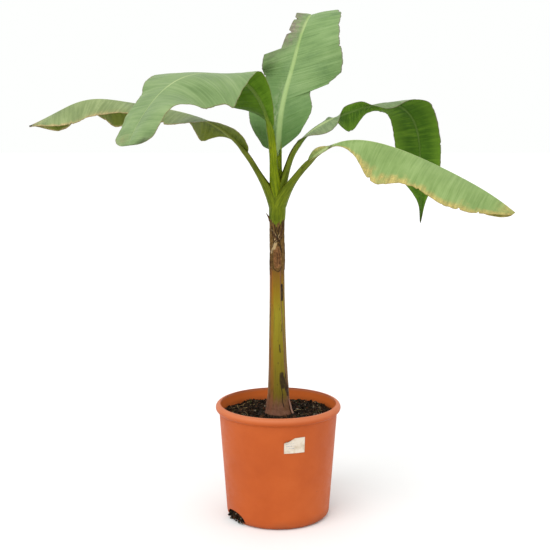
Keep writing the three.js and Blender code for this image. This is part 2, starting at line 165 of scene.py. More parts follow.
def between(rows, t, column):
    """Smooth curve through rows of (where, values...), at any spacing."""
    x, y = (np.array([row[c] if c < len(row) else 0.0 for row in rows], float) for c in (0, column))
    slope = neighbours(y) / neighbours(x)
    t = np.clip(np.asarray(t, float), x[0], x[-1])
    i = np.clip(np.searchsorted(x, t, side="right") - 1, 0, len(x) - 2)
    h = x[i + 1] - x[i]
    f = (t - x[i]) / h
    g = 1 - f
    start = (1 + 2 * f) * g**2 * y[i] + f * g**2 * h * slope[i]
    return start + f**2 * (3 - 2 * f) * y[i + 1] - f**2 * g * h * slope[i + 1]


def along(rows, x, column=1):
    rows = np.asarray(rows, float)
    return np.interp(x, rows[:, 0], rows[:, column])


def blob(s, z, s0, z0, ds, dz):
    return np.exp(-(((s - s0) / ds) ** 2) - ((z - z0) / dz) ** 2)


def lattice(i, j, k, seed):
    h = (i * 374761393 + j * 668265263 + k * 1103515245 + seed * 362437) & 0xFFFFFFFF
    h = ((h ^ (h >> 13)) * 1274126177) & 0xFFFFFFFF
    return ((h ^ (h >> 16)) & 0xFFFF) / 32767.5 - 1.0


def noise(x, y=0.0, z=0.0, seed=0):
    """Smooth noise from -1 to 1."""
    x, y, z = np.broadcast_arrays(*(np.asarray(q, float) for q in (x, y, z)))
    i, j, k = (np.floor(q).astype(np.int64) for q in (x, y, z))
    f, g, h = (q * q * (3 - 2 * q) for q in (x - i, y - j, z - k))
    total = 0
    for a, wa in ((0, 1 - f), (1, f)):
        for b, wb in ((0, 1 - g), (1, g)):
            for c, wc in ((0, 1 - h), (1, h)):
                total = total + wa * wb * wc * lattice(i + a, j + b, k + c, seed)
    return total


def octaves(x, y=0.0, z=0.0, n=3, seed=0):
    x, y, z = (np.asarray(q) for q in (x, y, z))
    return sum(noise(x * 2**o, y * 2**o, z * 2**o, seed + 17 * o) * 0.55**o for o in range(n))


# ------------------------------------------------------------ meshes


LIGHT = 1.3  # how much brighter than white paper under the sky alone the suns make a surface


def srgb(r, g, b):
    """Base colour that looks like this 8-bit colour under the scene's light."""
    shares = (x / 255 for x in (r, g, b))
    linear = (x / 12.92 if x <= 0.04045 else ((x + 0.055) / 1.055) ** 2.4 for x in shares)
    return tuple(x / LIGHT for x in linear) + (1.0,)


def tint(colour):
    """Colour for a socket; one of three numbers is an 8-bit colour."""
    return srgb(*colour) if isinstance(colour, tuple) and len(colour) == 3 else colour


def shade(colour, gain, more=0.0):
    return tuple(min(1, x * gain + more) for x in tint(colour)[:3]) + (1.0,)


def mesh(name, points, faces):
    me = bpy.data.meshes.new(name)
    me.from_pydata((np.asarray(points, float) * MM).tolist(), [], [list(map(int, f)) for f in faces])
    return me


def add_object(name, data):
    ob = bpy.data.objects.new(name, data)
    bpy.context.scene.collection.objects.link(ob)
    return ob


def piece(name, slot, points, faces, materials, slots=None, values=None, stands_for=(), crease=None):
    """A mesh object from points in millimetres, riding on the plant's one body."""
    me = mesh(name, points, faces)
    for m in materials:
        me.materials.append(m)
    if slots is not None:
        me.polygons.foreach_set("material_index", np.asarray(slots, np.int32))
    for key, data in (values or {}).items():
        attribute = me.attributes.new(key, "FLOAT", "POINT")
        attribute.data.foreach_set("value", np.asarray(data, np.float32).ravel())
    me.shade_smooth()
    if crease:
        me.set_sharp_from_angle(angle=math.radians(crease))
    me.update()
    ob = add_object(name, me)
    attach(ob, "root")
    if stands_for:
        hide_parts(*stands_for)
    return ob


def unit(v):
    return v / np.linalg.norm(v, axis=-1)[..., None]


def with_ends(v):
    """Values at a tube's rings, and their means at the middles of its two ends."""
    return np.concatenate([v.ravel(), [v[0].mean(), v[-1].mean()]])


def circle(n):
    return np.arange(n) / n * 2 * np.pi


def around(r, a, z, x=0.0, y=0.0):
    """Points at radius r and angle a round an upright axis through x, y."""
    return np.stack(np.broadcast_arrays(x + r * np.cos(a), y + r * np.sin(a), z), -1)


def limb(line, first, second, wide, high, n):
    """Rings of n points round a line, wide along the first direction and high along the second."""
    a, wide, high = circle(n), wide[:, None], high[:, None]
    sideways = first[:, None] * (wide * np.cos(a))[..., None]
    return line[:, None] + sideways + second[:, None] * (high * np.sin(a))[..., None]


def grid_faces(rows, cols, first=0, turned=False, closed=False):
    i, j = np.meshgrid(np.arange(rows - 1), np.arange(cols if closed else cols - 1), indexing="ij")
    k = (j + 1) % cols
    corners = (i * cols + j, i * cols + k, (i + 1) * cols + k, (i + 1) * cols + j)
    quads = np.stack(corners, -1).reshape(-1, 4) + first
    return quads[:, ::-1] if turned else quads


def sheet(top, low):
    """Closed sheet between two grids of points (rows, cols, 3). Faces of the top come first."""
    rows, cols = top.shape[:2]
    n = rows * cols
    faces = [grid_faces(rows, cols, 0), grid_faces(rows, cols, n, turned=True)]
    i, j = np.arange(rows - 1) * cols, np.arange(cols - 1)
    right, last = cols - 1, n - cols
    for a, b in ((i, i + cols), (i + cols + right, i + right), (j + 1, j), (last + j, last + j + 1)):
        faces.append(np.stack([a, b, b + n, a + n], -1))
    faces = np.concatenate(faces)
    slots = np.ones(len(faces), int)
    slots[: (rows - 1) * (cols - 1)] = 0
    return np.concatenate([top.reshape(-1, 3), low.reshape(-1, 3)]), faces, slots


def tube(rings):
    """Closed skin through rings of points (rings, points, 3), anticlockwise seen from the last one."""
    rows, cols = rings.shape[:2]
    points = np.concatenate([rings.reshape(-1, 3), rings[0].mean(0)[None], rings[-1].mean(0)[None]])
    faces = grid_faces(rows, cols, closed=True).tolist()
    n = rows * cols
    for j in range(cols):
        k = (j + 1) % cols
        faces.append([n, k, j])
        faces.append([n + 1, n - cols + j, n - cols + k])
    return points, faces


def join(parts):
    """Several (points, faces) as one."""
    points, faces, first = [], [], 0
    for p, f in parts:
        points.append(np.asarray(p, float))
        faces.extend([[first + int(i) for i in q] for q in f])
        first += len(p)
    return np.concatenate(points), faces


# ------------------------------------------------------------ materials


class Paint:
    """Short calls that build one material's nodes; base is its colour so far."""

    def __init__(self, name, specular):
        self.mat = bpy.data.materials.new(name)
        self.mat.use_nodes = True
        self.tree = self.mat.node_tree
        self.shader = self.tree.nodes["Principled BSDF"]
        self.shader.inputs["Specular IOR Level"].default_value = specular
        self.place = self.node("ShaderNodeTexCoord").outputs["Object"]
        self.base = None

    def node(self, kind, inputs=None, **props):
        n = self.tree.nodes.new(kind)
        for key, value in props.items():
            setattr(n, key, value)
        for key, value in (inputs or {}).items():
            if isinstance(value, bpy.types.NodeSocket):
                self.tree.links.new(value, n.inputs[key])
            else:
                n.inputs[key].default_value = value
        return n

    def math(self, op, a, b=0.0, clamp=False):
        return self.node("ShaderNodeMath", {0: a, 1: b}, operation=op, use_clamp=clamp).outputs[0]

    def times(self, a, b, clamp=False):
        return self.math("MULTIPLY", a, b, clamp)

    def plus(self, a, b, clamp=False):
        return self.math("ADD", a, b, clamp)

    def value(self, name):
        return self.node("ShaderNodeAttribute", attribute_name=name).outputs["Fac"]

    def axes(self):
        return self.node("ShaderNodeSeparateXYZ", {0: self.place}).outputs

    def noise(self, scale, detail=3.0, rough=0.5, vector=None, bend=0.0):
        """Noise; scale may be one number or one for each axis."""
        v = self.place if vector is None else vector
        if isinstance(scale, tuple):
            v = self.node("ShaderNodeVectorMath", {0: v, 1: scale}, operation="MULTIPLY").outputs[0]
            scale = 1.0
        inputs = {"Vector": v, "Scale": scale, "Detail": detail, "Roughness": rough, "Distortion": bend}
        return self.node("ShaderNodeTexNoise", inputs).outputs["Fac"]

    def cells(self, scale):
        """Distance to the middle of each cell, and the cell's own random colour."""
        n = self.node("ShaderNodeTexVoronoi", {"Vector": self.place, "Scale": scale})
        return n.outputs["Distance"], self.node("ShaderNodeSeparateColor", {0: n.outputs["Color"]}).outputs

    def span(self, x, lo, hi, a=0.0, b=1.0, smooth_ends=True):
        inputs = {"Value": x, "From Min": lo, "From Max": hi, "To Min": a, "To Max": b}
        n = self.node("ShaderNodeMapRange", inputs)
        n.interpolation_type = "SMOOTHSTEP" if smooth_ends else "LINEAR"
        return n.outputs[0]

    def ramp(self, x, *stops):
        n = self.node("ShaderNodeValToRGB", {"Fac": x})
        e = n.color_ramp.elements
        while len(e) < len(stops):
            e.new(1.0)
        for item, (at, colour) in zip(e, stops):
            item.position, item.color = at, tint(colour)
        return n.outputs[0]

    def blend(self, x, a, b, how="MIX"):
        inputs = {0: x, 6: tint(a), 7: tint(b)}
        return self.node("ShaderNodeMix", inputs, data_type="RGBA", blend_type=how).outputs[2]

    def lay(self, mask, colour, how="MIX"):
        """A colour laid over the base where the mask is high."""
        self.base = self.blend(mask, self.base, colour, how)

    def bump(self, height, distance, below=None):
        inputs = {"Height": height, "Distance": distance}
        if below is not None:
            inputs["Normal"] = below
        return self.node("ShaderNodeBump", inputs).outputs[0]

    def done(self, rough, normal):
        for key, value in (("Base Color", self.base), ("Roughness", rough), ("Normal", normal)):
            self.tree.links.new(value, self.shader.inputs[key])
        return self.mat


# ------------------------------------------------------------ pot


def wall_radius(z):
    bottom = POT["height"] - 2 * POT["bead"]
    return mix(POT["base"], POT["wall_top"], (z - POT["corner"]) / (bottom - POT["corner"]))


def inner_radius(z):
    return wall_radius(z) - POT["wall"]


def arc(cx, cz, r, a0, a1, n):
    a = np.radians(np.linspace(a0, a1, n))
    return list(zip(cx + r * np.cos(a), cz + r * np.sin(a)))


def revolve(profile, sides):
    r, z = np.asarray(profile, float).T[..., None]
    return around(r, circle(sides), z)


def inside_profile(top, gap, n=7):
    r = POT["corner"] - POT["wall"]
    edge = inner_radius(POT["corner"]) - gap
    floor = POT["floor"] + gap
    wall = [(inner_radius(z) - gap, z) for z in np.linspace(floor + r + 6, top, 24)]
    return arc(edge - r, floor + r, r, -90, 0, n) + wall


def plastic():
    p = Paint("pot_plastic", 0.2)
    z = p.axes()[2]
    cloud = p.noise(7.0, 4, 0.6)
    grain = p.noise(900.0, 2)
    scuff = p.noise((22.0, 22.0, 30.0), 6, 0.7, bend=1.5)
    p.base = p.ramp(cloud, (0.3, (192, 86, 30)), (0.55, (203, 95, 36)), (0.75, (210, 103, 44)))
    # the rim is painted paler: a painted highlight where it faces the sky, and wear where it was handled
    rim = p.span(z, 0.2615, 0.2725)
    p.lay(p.times(rim, 0.55), (228, 140, 98))
    p.lay(p.span(scuff, 0.62, 0.8, 0, 0.2), (180, 88, 44))
    away, chance = p.cells(55.0)
    specks = p.times(p.span(away, 0.02, 0.06, 1, 0), p.math("GREATER_THAN", chance[0], 0.9))
    p.lay(specks, (110, 58, 34))
    # the inner wall is painted a brighter orange than the outside: painted light on the same plastic
    inside = p.value("inside")
    p.lay(p.times(inside, 0.8), (240, 122, 50))
    # darker in patches inside towards the soil and outside towards the foot
    darker_near_soil = p.times(p.span(z, 0.26, 0.245), p.times(inside, p.span(cloud, 0.35, 0.65, 0.1, 0.5)))
    p.lay(darker_near_soil, (130, 72, 40))
    low = p.times(p.span(z, 0.03, 0.003), p.span(cloud, 0.4, 0.7, 0.1, 0.5))
    p.lay(low, (120, 62, 34))
    normal = p.bump(grain, 0.00004, p.bump(scuff, 0.00025))
    return p.done(p.span(scuff, 0.3, 0.8, 0.42, 0.62), normal)


def cut(ob, points, faces):
    """Takes a closed shape out of an object's mesh."""
    cutter = add_object("cutter", mesh("cutter", points, faces))
    m = ob.modifiers.new("cut", "BOOLEAN")
    m.operation, m.solver, m.object = "DIFFERENCE", "EXACT", cutter
    dg = bpy.context.evaluated_depsgraph_get()
    me = bpy.data.meshes.new_from_object(ob.evaluated_get(dg))
    ob.modifiers.clear()
    ob.data = me
    bpy.data.objects.remove(cutter)


def arch_shape(azimuth):
    half, h = ARCH["width"] / 2, ARCH["height"]
    a = np.linspace(0, np.pi, 49)
    x = np.concatenate([half * np.cos(a), [-half, half]])
    z = np.concatenate([h * np.maximum(np.sin(a), 0) ** 0.7, [-1, -1]])
    q = math.radians(azimuth)
    ahead, left = np.array([math.cos(q), math.sin(q), 0]), np.array([-math.sin(q), math.cos(q), 0])
    across = left * x[:, None] + np.array([0, 0, 1]) * z[:, None]
    return tube(np.array([ahead * d + across for d in (ARCH["depth_from"], POT["rim"] + 10)]))


def build_pot():
    sides = 240
    bead, top = POT["bead"], POT["height"]
    lip, foot = top - 4, POT["base"] - POT["corner"]
    profile = arc(foot, POT["corner"], POT["corner"], -90, -3, 12)
    profile += [(wall_radius(z), z) for z in np.linspace(18, top - 2 * bead - 1.5, 40)]
    profile += arc(POT["rim"] - bead, top - bead, bead, -68, 100, 30)
    profile += arc(inner_radius(lip) + 1.6, lip, 2.2, 110, 180, 4)
    inner = [(inner_radius(z), z) for z in np.linspace(top - 8, POT["corner"] + 6, 40)]
    inner += inside_profile(POT["corner"] + 6, 0, 8)[:8][::-1]
    points, faces = tube(revolve(profile + inner, sides))
    inside = np.zeros(len(points))
    inside[len(profile) * sides:] = 1
    ob = piece("pot_shell", "pot", points, faces, [plastic()], values={"inside": inside}, stands_for=["pot"])
    for azimuth in ARCH["azimuths"]:
        cut(ob, *arch_shape(azimuth))
    for a in circle(DRAIN["count"]):
        hole = revolve([(DRAIN["radius"], -3), (DRAIN["radius"], 7)], 40)
        cut(ob, *tube(hole + [DRAIN["ring"] * math.cos(a), DRAIN["ring"] * math.sin(a), 0]))
    ob.data.shade_smooth()
    ob.data.set_sharp_from_angle(angle=math.radians(38))


# ------------------------------------------------------------ soil


def earth(name, dark, mid, light, scale=1.0):
    p = Paint(name, 0.1)
    big = p.noise(38.0 * scale, 6, 0.65)
    fine = p.noise(260.0 * scale, 5, 0.7)
    away, chance = p.cells(300.0 * scale)
    p.base = p.ramp(p.plus(p.times(big, 0.55), p.times(fine, 0.45)), (0.38, dark), (0.55, mid), (0.75, light))
    pale = p.times(p.span(chance[1], 0.9, 0.97), p.span(fine, 0.4, 0.6))
    p.lay(pale, (112, 98, 80))
    normal = p.bump(p.plus(fine, p.times(away, 0.6)), 0.0022)
    return p.done(p.span(fine, 0.3, 0.7, 0.75, 0.98), normal)


def soil_height(x, y):
    r = np.hypot(x, y)
    out = np.clip((r - SOIL["seat_radius"]) / (inner_radius(SOIL["level"]) - SOIL["seat_radius"]), 0, 1)
    level = mix(SOIL["seat"], SOIL["level"], out)
    rolling = 3.4 * octaves(x / 34, y / 34, 0, 3, 5) + 1.3 * octaves(x / 9, y / 9, 0, 3, 8)
    bank = 4.5 * blob(x, y, 70, 70, 38, 30) - 3.0 * blob(x, y, -78, 40, 30, 46)
    at_wall = smooth(0.9, 1, out)
    return level + (rolling + bank) * smooth(0, 0.12, out) * (1 - 0.4 * at_wall) - 1.2 * at_wall


def soil_fill():
    sides = 220
    edge = inner_radius(SOIL["level"]) - SOIL["gap"]
    wall = revolve(inside_profile(SOIL["level"] - 6, SOIL["gap"]), sides)
    a = np.arctan2(wall[..., 1], wall[..., 0])
    z = wall[..., 2]
    # the soil behind the drain arches has crumbled back a little
    for azimuth in ARCH["azimuths"]:
        off = np.abs((a - math.radians(azimuth) + np.pi) % (2 * np.pi) - np.pi) * POT["base"]
        hollow = (1 - smooth(28, 42, off)) * (1 - smooth(20, 34, z)) * smooth(3, 8, z)
        push = hollow * (2.2 + 2.2 * octaves(a * 14, z / 7, 0, 3, 3))
        wall[..., :2] *= (1 - np.maximum(push, 0) / np.hypot(wall[..., 0], wall[..., 1]))[..., None]
    top = revolve([(r, 0) for r in (edge, edge - 0.8, *np.linspace(edge - 2.5, 4, 62))], sides)
    top[..., 2] = soil_height(top[..., 0], top[..., 1])
    points, faces = tube(np.concatenate([wall, top]))
    soil = earth("potting_soil", (17, 11, 7), (42, 28, 18), (78, 58, 40))
    piece("soil_fill", "soil", points, faces, [soil], stands_for=["soil"], crease=60)
    return edge


def lump_shape():
    """An icosahedron's corners, one unit out, and its faces."""
    g = (1 + 5**0.5) / 2
    corners = [(s, a, 0) for a in (g, -g) for s in (-1, 1)]
    points = np.array([np.roll(q, k) for k in range(3) for q in corners])
    faces = []
    for face in itertools.combinations(range(12), 3):
        a, b, c = points[list(face)]
        if max(np.linalg.norm(a - b), np.linalg.norm(b - c), np.linalg.norm(c - a)) < 2.01:
            faces.append(face if np.dot(np.cross(a, b), c) > 0 else face[::-1])
    return points / np.linalg.norm(points[0]), faces


def build_crumbs(rng, edge):
    """Small loose lumps on the soil and at the mouth of the front arch."""
    corners, sides = lump_shape()
    spots = []
    for _ in range(CRUMBS):
        a, q = rng.uniform(0, 2 * np.pi), rng.uniform(0, 1) ** 0.5
        r = mix(30, edge - 3.5, q)
        spots.append((r * math.cos(a), r * math.sin(a), None))
    q = math.radians(ARCH["azimuths"][0])
    for _ in range(ARCH_CRUMBS):
        side, up = rng.uniform(-31, 31), rng.uniform(2.5, 21)
        if up > 26 * math.cos(side / 42) ** 0.7:
            continue
        r = wall_radius(up) - rng.uniform(1.5, 7)
        spots.append((r * math.cos(q) - side * math.sin(q), r * math.sin(q) + side * math.cos(q), up))
    parts, slots = [], []
    for x, y, up in spots:
        size = rng.uniform(0.9, 2.5) if rng.random() < 0.86 else rng.uniform(2.4, 4.6)
        lump = corners * (1 + 0.35 * rng.uniform(-1, 1, (12, 1))) * rng.uniform(0.6, 1.25, 3) * size
        turn = np.linalg.qr(rng.normal(size=(3, 3)))[0]
        if np.linalg.det(turn) < 0:
            turn[:, 0] *= -1
        z = up if up is not None else soil_height(x, y) + size * rng.uniform(0.0, 0.55)
        parts.append((lump @ turn.T + [x, y, z], sides))
        slots += [rng.choice(5, p=[0.46, 0.3, 0.12, 0.05, 0.07])] * len(sides)
    colours = [
        earth("crumb_black", (16, 11, 8), (30, 20, 13), (48, 34, 24), 2),
        earth("crumb_brown", (34, 22, 14), (58, 38, 24), (84, 60, 40), 2),
        earth("crumb_bark", (66, 42, 26), (96, 62, 38), (126, 88, 58), 2),
        earth("crumb_pale", (120, 108, 90), (150, 138, 118), (184, 172, 150), 2),
        earth("crumb_moss", (40, 46, 22), (62, 66, 34), (90, 90, 52), 2),
    ]
    piece("soil_crumbs", "soil", *join(parts), colours, slots=slots, crease=70)


def fibre(edge, start, heading, length, width, bends, lift):
    """A thin bent stick that lies on the soil."""
    n = 14
    s = np.linspace(0, 1, n)
    turn = heading + bends[0] * (s - 0.5) + bends[1] * np.sin(2 * np.pi * s)
    steps = np.stack([np.cos(turn), np.sin(turn)], -1)[1:] * (length / (n - 1))
    xy = np.array(start) + np.concatenate([[[0, 0]], np.cumsum(steps, 0)])
    far = np.maximum(np.hypot(*xy.T), 1e-6)
    xy *= np.minimum(1, (edge - 2.2) / far)[:, None]
    z = soil_height(xy[:, 0], xy[:, 1]) + lift + width * 0.5 + 1.6 * np.sin(np.pi * s) * (length > 25)
    line = np.concatenate([xy, z[:, None]], 1)
    ahead = unit(np.gradient(line, axis=0))
    side = unit(np.cross(ahead, [0, 0, 1.0]))
    w = width * (0.55 + 0.45 * np.sin(np.pi * np.clip(s * 1.05, 0, 1))) * (1 - 0.5 * s)
    return tube(limb(line, side, np.cross(side, ahead), w, 0.55 * w, 6)[:, ::-1])


def build_fibres(rng, edge):
    """Straw, twigs and root fibres; the pale straws lie by the rim at the front left."""
    straws = [
        ((-92, -66), -1.1, 30, 1.1, (0.5, 0.1), 3.0), ((-84, -78), -0.7, 26, 0.9, (-0.6, 0.2), 3.4),
        ((-98, -52), -0.9, 24, 0.8, (0.9, 0.1), 2.6), ((-76, -74), -0.4, 34, 1.0, (0.5, -0.2), 3.0),
        ((-60, -92), -0.2, 26, 0.8, (0.4, 0.3), 3.0), ((-100, -30), 0.6, 22, 0.9, (0.7, 0.2), 2.0),
    ]
    parts = [fibre(edge, *straw) for straw in straws]
    kinds = [0] * len(straws)
    for _ in range(FIBRES):
        a, q = rng.uniform(0, 2 * np.pi), rng.uniform(0.05, 1) ** 0.5
        r = mix(34, edge - 8, q)
        length = rng.uniform(7, 26) if rng.random() < 0.85 else rng.uniform(24, 46)
        start = (r * math.cos(a), r * math.sin(a))
        heading, width = rng.uniform(0, 2 * np.pi), rng.uniform(0.35, 1.1)
        bends, lift = rng.normal(0, 0.6, 2), rng.uniform(0.2, 2.0)
        parts.append(fibre(edge, start, heading, length, width, bends, lift))
        kinds.append(rng.choice(3, p=[0.22, 0.5, 0.28]))
    colours = [
        earth("straw", (170, 140, 92), (196, 168, 118), (222, 200, 156), 3),
        earth("twig", (58, 38, 22), (88, 60, 36), (120, 88, 56), 3),
        earth("root_fibre", (96, 76, 54), (124, 102, 76), (150, 130, 102), 3),
    ]
    slots = np.repeat(kinds, [len(faces) for _, faces in parts])
    piece("soil_fibres", "soil", *join(parts), colours, slots=slots)


def build_soil(rng):
    edge = soil_fill()
    build_crumbs(rng, edge)
    build_fibres(rng, edge)


# ------------------------------------------------------------ label


def label_paper():
    p = Paint("label_paper", 0.3)
    x, _, z = p.axes()
    fibre = p.noise(420.0, 4, 0.6)
    stain = p.noise(70.0, 4, 0.6)
    p.base = p.ramp(stain, (0.3, (214, 196, 170)), (0.5, (236, 222, 202)), (0.7, (243, 232, 216)))
    # faded plain bars in a window, with no lettering
    bars = p.times(p.span(p.math("SINE", p.times(z, 1150.0)), 0.25, 0.7), p.span(fibre, 0.42, 0.6))
    for along, outer, inner in ((x, 0.0165, 0.019), (x, 0.041, 0.036), (z, 0.2, 0.203), (z, 0.2185, 0.2155)):
        bars = p.times(bars, p.span(along, outer, inner))
    p.lay(p.times(bars, 0.8), (140, 152, 178))
    p.lay(p.span(p.value("edge"), 0.0, 0.0012, 0.6, 0.0), (196, 170, 140))
    return p.done(p.span(fibre, 0.3, 0.7, 0.6, 0.8), p.bump(fibre, 0.00008))


def label_torn():
    p = Paint("label_torn", 0.2)
    n = p.noise(300.0, 4)
    p.base = p.ramp(n, (0.35, (120, 92, 78)), (0.65, (176, 150, 128)))
    return p.done(p.span(n, 0.3, 0.7, 0.7, 0.9), p.bump(n, 0.0001))


def on_wall(deg, z, stand, outward, inward):
    """Closed sheet on the pot's wall, its angles in degrees right of the front."""
    a, r = np.radians(deg - 90), wall_radius(z) + LABEL["stand"] + stand
    return sheet(around(r + outward, a, z), around(r - inward, a, z))


def build_label():
    left, right = LABEL["left"], LABEL["right"]
    deg = np.linspace(left, right, 74)
    torn = 0.5 * noise(deg * 1.6, seed=4) * (deg < 17)
    top = np.interp(deg, *zip(*LABEL_TOP)) + torn + 0.12 * noise(deg * 4, seed=5)
    low = LABEL["low"] + 0.1 * noise(deg * 3, seed=6)
    share = np.linspace(0, 1, 40)[:, None]
    z = low + (top - low) * share
    wrinkle = 0.16 * octaves(deg / 5, z / 9, 0, 2, 9) + 0.16
    lift = 1.5 * (1 - smooth(0, 5.5, deg - left)) * smooth(0.55, 1, share)
    points, faces, _ = on_wall(deg, z, wrinkle + lift, 0.22, 0.1)
    degree = 2.35  # mm along the wall
    sideways = np.minimum(deg - left, right - deg) * degree
    away = np.minimum(sideways, np.minimum(z - low, top - z)).ravel() * MM
    values = {"edge": np.concatenate([away, away])}
    piece("sticker", "label", points, faces, [label_paper()], values=values, stands_for=["label"], crease=50)

    # the flap that is left of the torn corner, rolled forward
    s = np.linspace(0, 1, 18)[:, None]
    c = np.linspace(0, 1, 14)[None]
    deg = 6.2 + 5.4 * c + 0.8 * s
    z = np.interp(deg, *zip(*LABEL_TOP)) - 0.6 + 2.4 * s * (1 - 0.45 * c) + 0.4 * noise(c * 6, seed=2) * s
    points, faces, _ = on_wall(deg, z, 0.35 + 1.9 * np.sin(np.pi * s * 0.8), 0.15, 0.15)
    piece("sticker_flap", "label", points, faces, [label_torn()])


# ------------------------------------------------------------ pseudostem


def near_line(s, z, line):
    """Distance from points (s, z) to a polyline."""
    best = np.full(np.broadcast(s, z).shape, 1e9)
    for (x0, y0), (x1, y1) in zip(line, line[1:]):
        dx, dy = x1 - x0, y1 - y0
        t = np.clip(((s - x0) * dx + (z - y0) * dy) / (dx * dx + dy * dy), 0, 1)
        best = np.minimum(best, np.hypot(s - x0 - t * dx, z - y0 - t * dy))
    return best


# colours up the stem, on its warmer and on its greener side: (share of the way, colour)
STEM_WARM = [
    (0.0, (132, 80, 56)), (0.055, (140, 88, 54)), (0.12, (136, 92, 24)), (0.3, (148, 104, 16)),
    (0.48, (152, 116, 20)), (0.6, (160, 106, 10)), (0.68, (150, 92, 20)), (0.9, (118, 84, 34)),
    (0.95, (108, 112, 16)), (1.0, (104, 124, 14)),
]
STEM_COOL = [
    (0.0, (120, 80, 54)), (0.06, (120, 94, 32)), (0.12, (120, 104, 18)), (0.3, (138, 122, 18)),
    (0.5, (156, 142, 30)), (0.6, (148, 118, 14)), (0.68, (134, 94, 22)), (0.9, (104, 82, 32)),
    (0.95, (102, 116, 18)), (1.0, (112, 130, 20)),
]


def stem_paint():
    p = Paint("stem_sheaths", 0.15)
    z = p.axes()[2]
    streak = p.noise((260.0, 260.0, 9.0), 5, 0.65)
    wide = p.noise((62.0, 62.0, 4.0), 4, 0.6)
    fine = p.noise((700.0, 700.0, 60.0), 4, 0.7)
    mottle = p.noise(150.0, 5, 0.7)
    level = p.plus(z, p.times(p.math("SUBTRACT", wide, 0.5), 0.05))
    x = p.span(level, 0.25, 0.75, smooth_ends=False)
    greener = p.plus(wide, p.times(p.math("SUBTRACT", p.value("green"), 0.5), 0.9))
    p.base = p.blend(p.span(greener, 0.3, 0.7), p.ramp(x, *STEM_WARM), p.ramp(x, *STEM_COOL))
    p.lay(p.span(streak, 0.52, 0.75, 0, 0.5), (92, 66, 26), "MULTIPLY")
    # pale fine streaks: the stem's own striations, with a painted highlight on their ridges
    p.lay(p.span(fine, 0.55, 0.75, 0, 0.25), (188, 168, 84))
    # the papery brown zone, its pale straw and the pink-brown scar
    papery = p.value("papery")
    layers = p.plus(p.times(mottle, 0.6), p.times(streak, 0.4))
    dry = p.ramp(layers, (0.35, (62, 42, 18)), (0.5, (112, 82, 38)), (0.66, (160, 124, 72)))
    scar = p.ramp(mottle, (0.35, (108, 66, 34)), (0.62, (160, 112, 68)))
    purple = p.ramp(mottle, (0.3, (104, 64, 48)), (0.7, (150, 106, 84)))
    p.lay(p.times(papery, 0.92), dry)
    p.lay(p.times(p.value("scar"), p.span(mottle, 0.3, 0.6, 0.6, 1)), scar)
    p.lay(p.times(p.value("straw"), p.span(mottle, 0.3, 0.55, 0.5, 1)), (202, 172, 124))
    p.lay(p.times(p.value("purple"), p.span(streak, 0.3, 0.6, 0.55, 0.95)), purple)
    p.lay(p.times(p.value("dark"), p.span(mottle, 0.28, 0.5, 0.6, 1)), (42, 24, 14))
    rough = p.plus(p.span(mottle, 0.3, 0.7, 0.42, 0.6), p.times(papery, 0.22), clamp=True)
    normal = p.bump(fine, 0.0003, p.bump(streak, 0.0007))
    return p.done(rough, p.bump(p.times(mottle, papery), 0.0016, normal))


# Strokes on the stem's front, as (points of arc length from the front and height, width).
# The folds of the dry sheath above the scar, their pale edges, and the stains and nicks below.
FOLDS = [
    ([(-9, 716), (-3, 690), (1, 672)], 1.6), ([(11, 717), (6, 700), (1, 672)], 1.5),
    ([(-3, 712), (-1, 697), (2, 688)], 1.3), ([(-13, 700), (-11, 680), (-8, 668)], 1.5),
    ([(1, 672), (-7, 664), (-13, 650)], 1.2), ([(1, 672), (7, 664), (13, 640)], 1.4),
    ([(13, 676), (6, 668), (-4, 664)], 1.5), ([(4, 661), (9, 650), (13, 640)], 1.4),
    ([(-10, 604), (-3, 597), (3, 594), (8, 598), (11, 606)], 1.1),
    ([(-11, 646), (-12, 625), (-9, 604)], 0.8),
    ([(3, 650), (7, 632), (6, 612)], 0.9), ([(0, 640), (2, 622), (1, 608)], 0.7),
]
PALE_EDGES = [
    ([(-13, 693), (-2, 680), (8, 671)], 2.0), ([(12, 690), (4, 679), (-6, 670)], 1.8),
    ([(-2, 666), (-9, 656), (-13, 640)], 3.4), ([(-3, 662), (-6, 650)], 4.2),
]
STAINS = [
    ([(7, 350), (6, 335), (8, 318)], 5.5), ([(9, 343), (12, 330), (15, 308)], 3.5),
    ([(5, 322), (7, 300), (6, 285), (8, 270)], 1.1), ([(14, 350), (16, 325), (20, 306)], 1.3),
    ([(17, 318), (18, 298)], 5.0), ([(4, 420), (5, 402)], 1.6), ([(9, 470), (10, 452)], 0.8),
]
# edges of the overlapping sheaths: arc length from the front, slope, height of its start, relief
SHEATHS = [
    (-19, 0.010, 300, 1.1), (21.5, -0.006, 300, 1.2), (38, 0.02, 430, 0.9),
    (-40, -0.015, 380, 0.9), (55, 0.0, 300, 1.0), (6, -0.03, 690, 0.8),
]


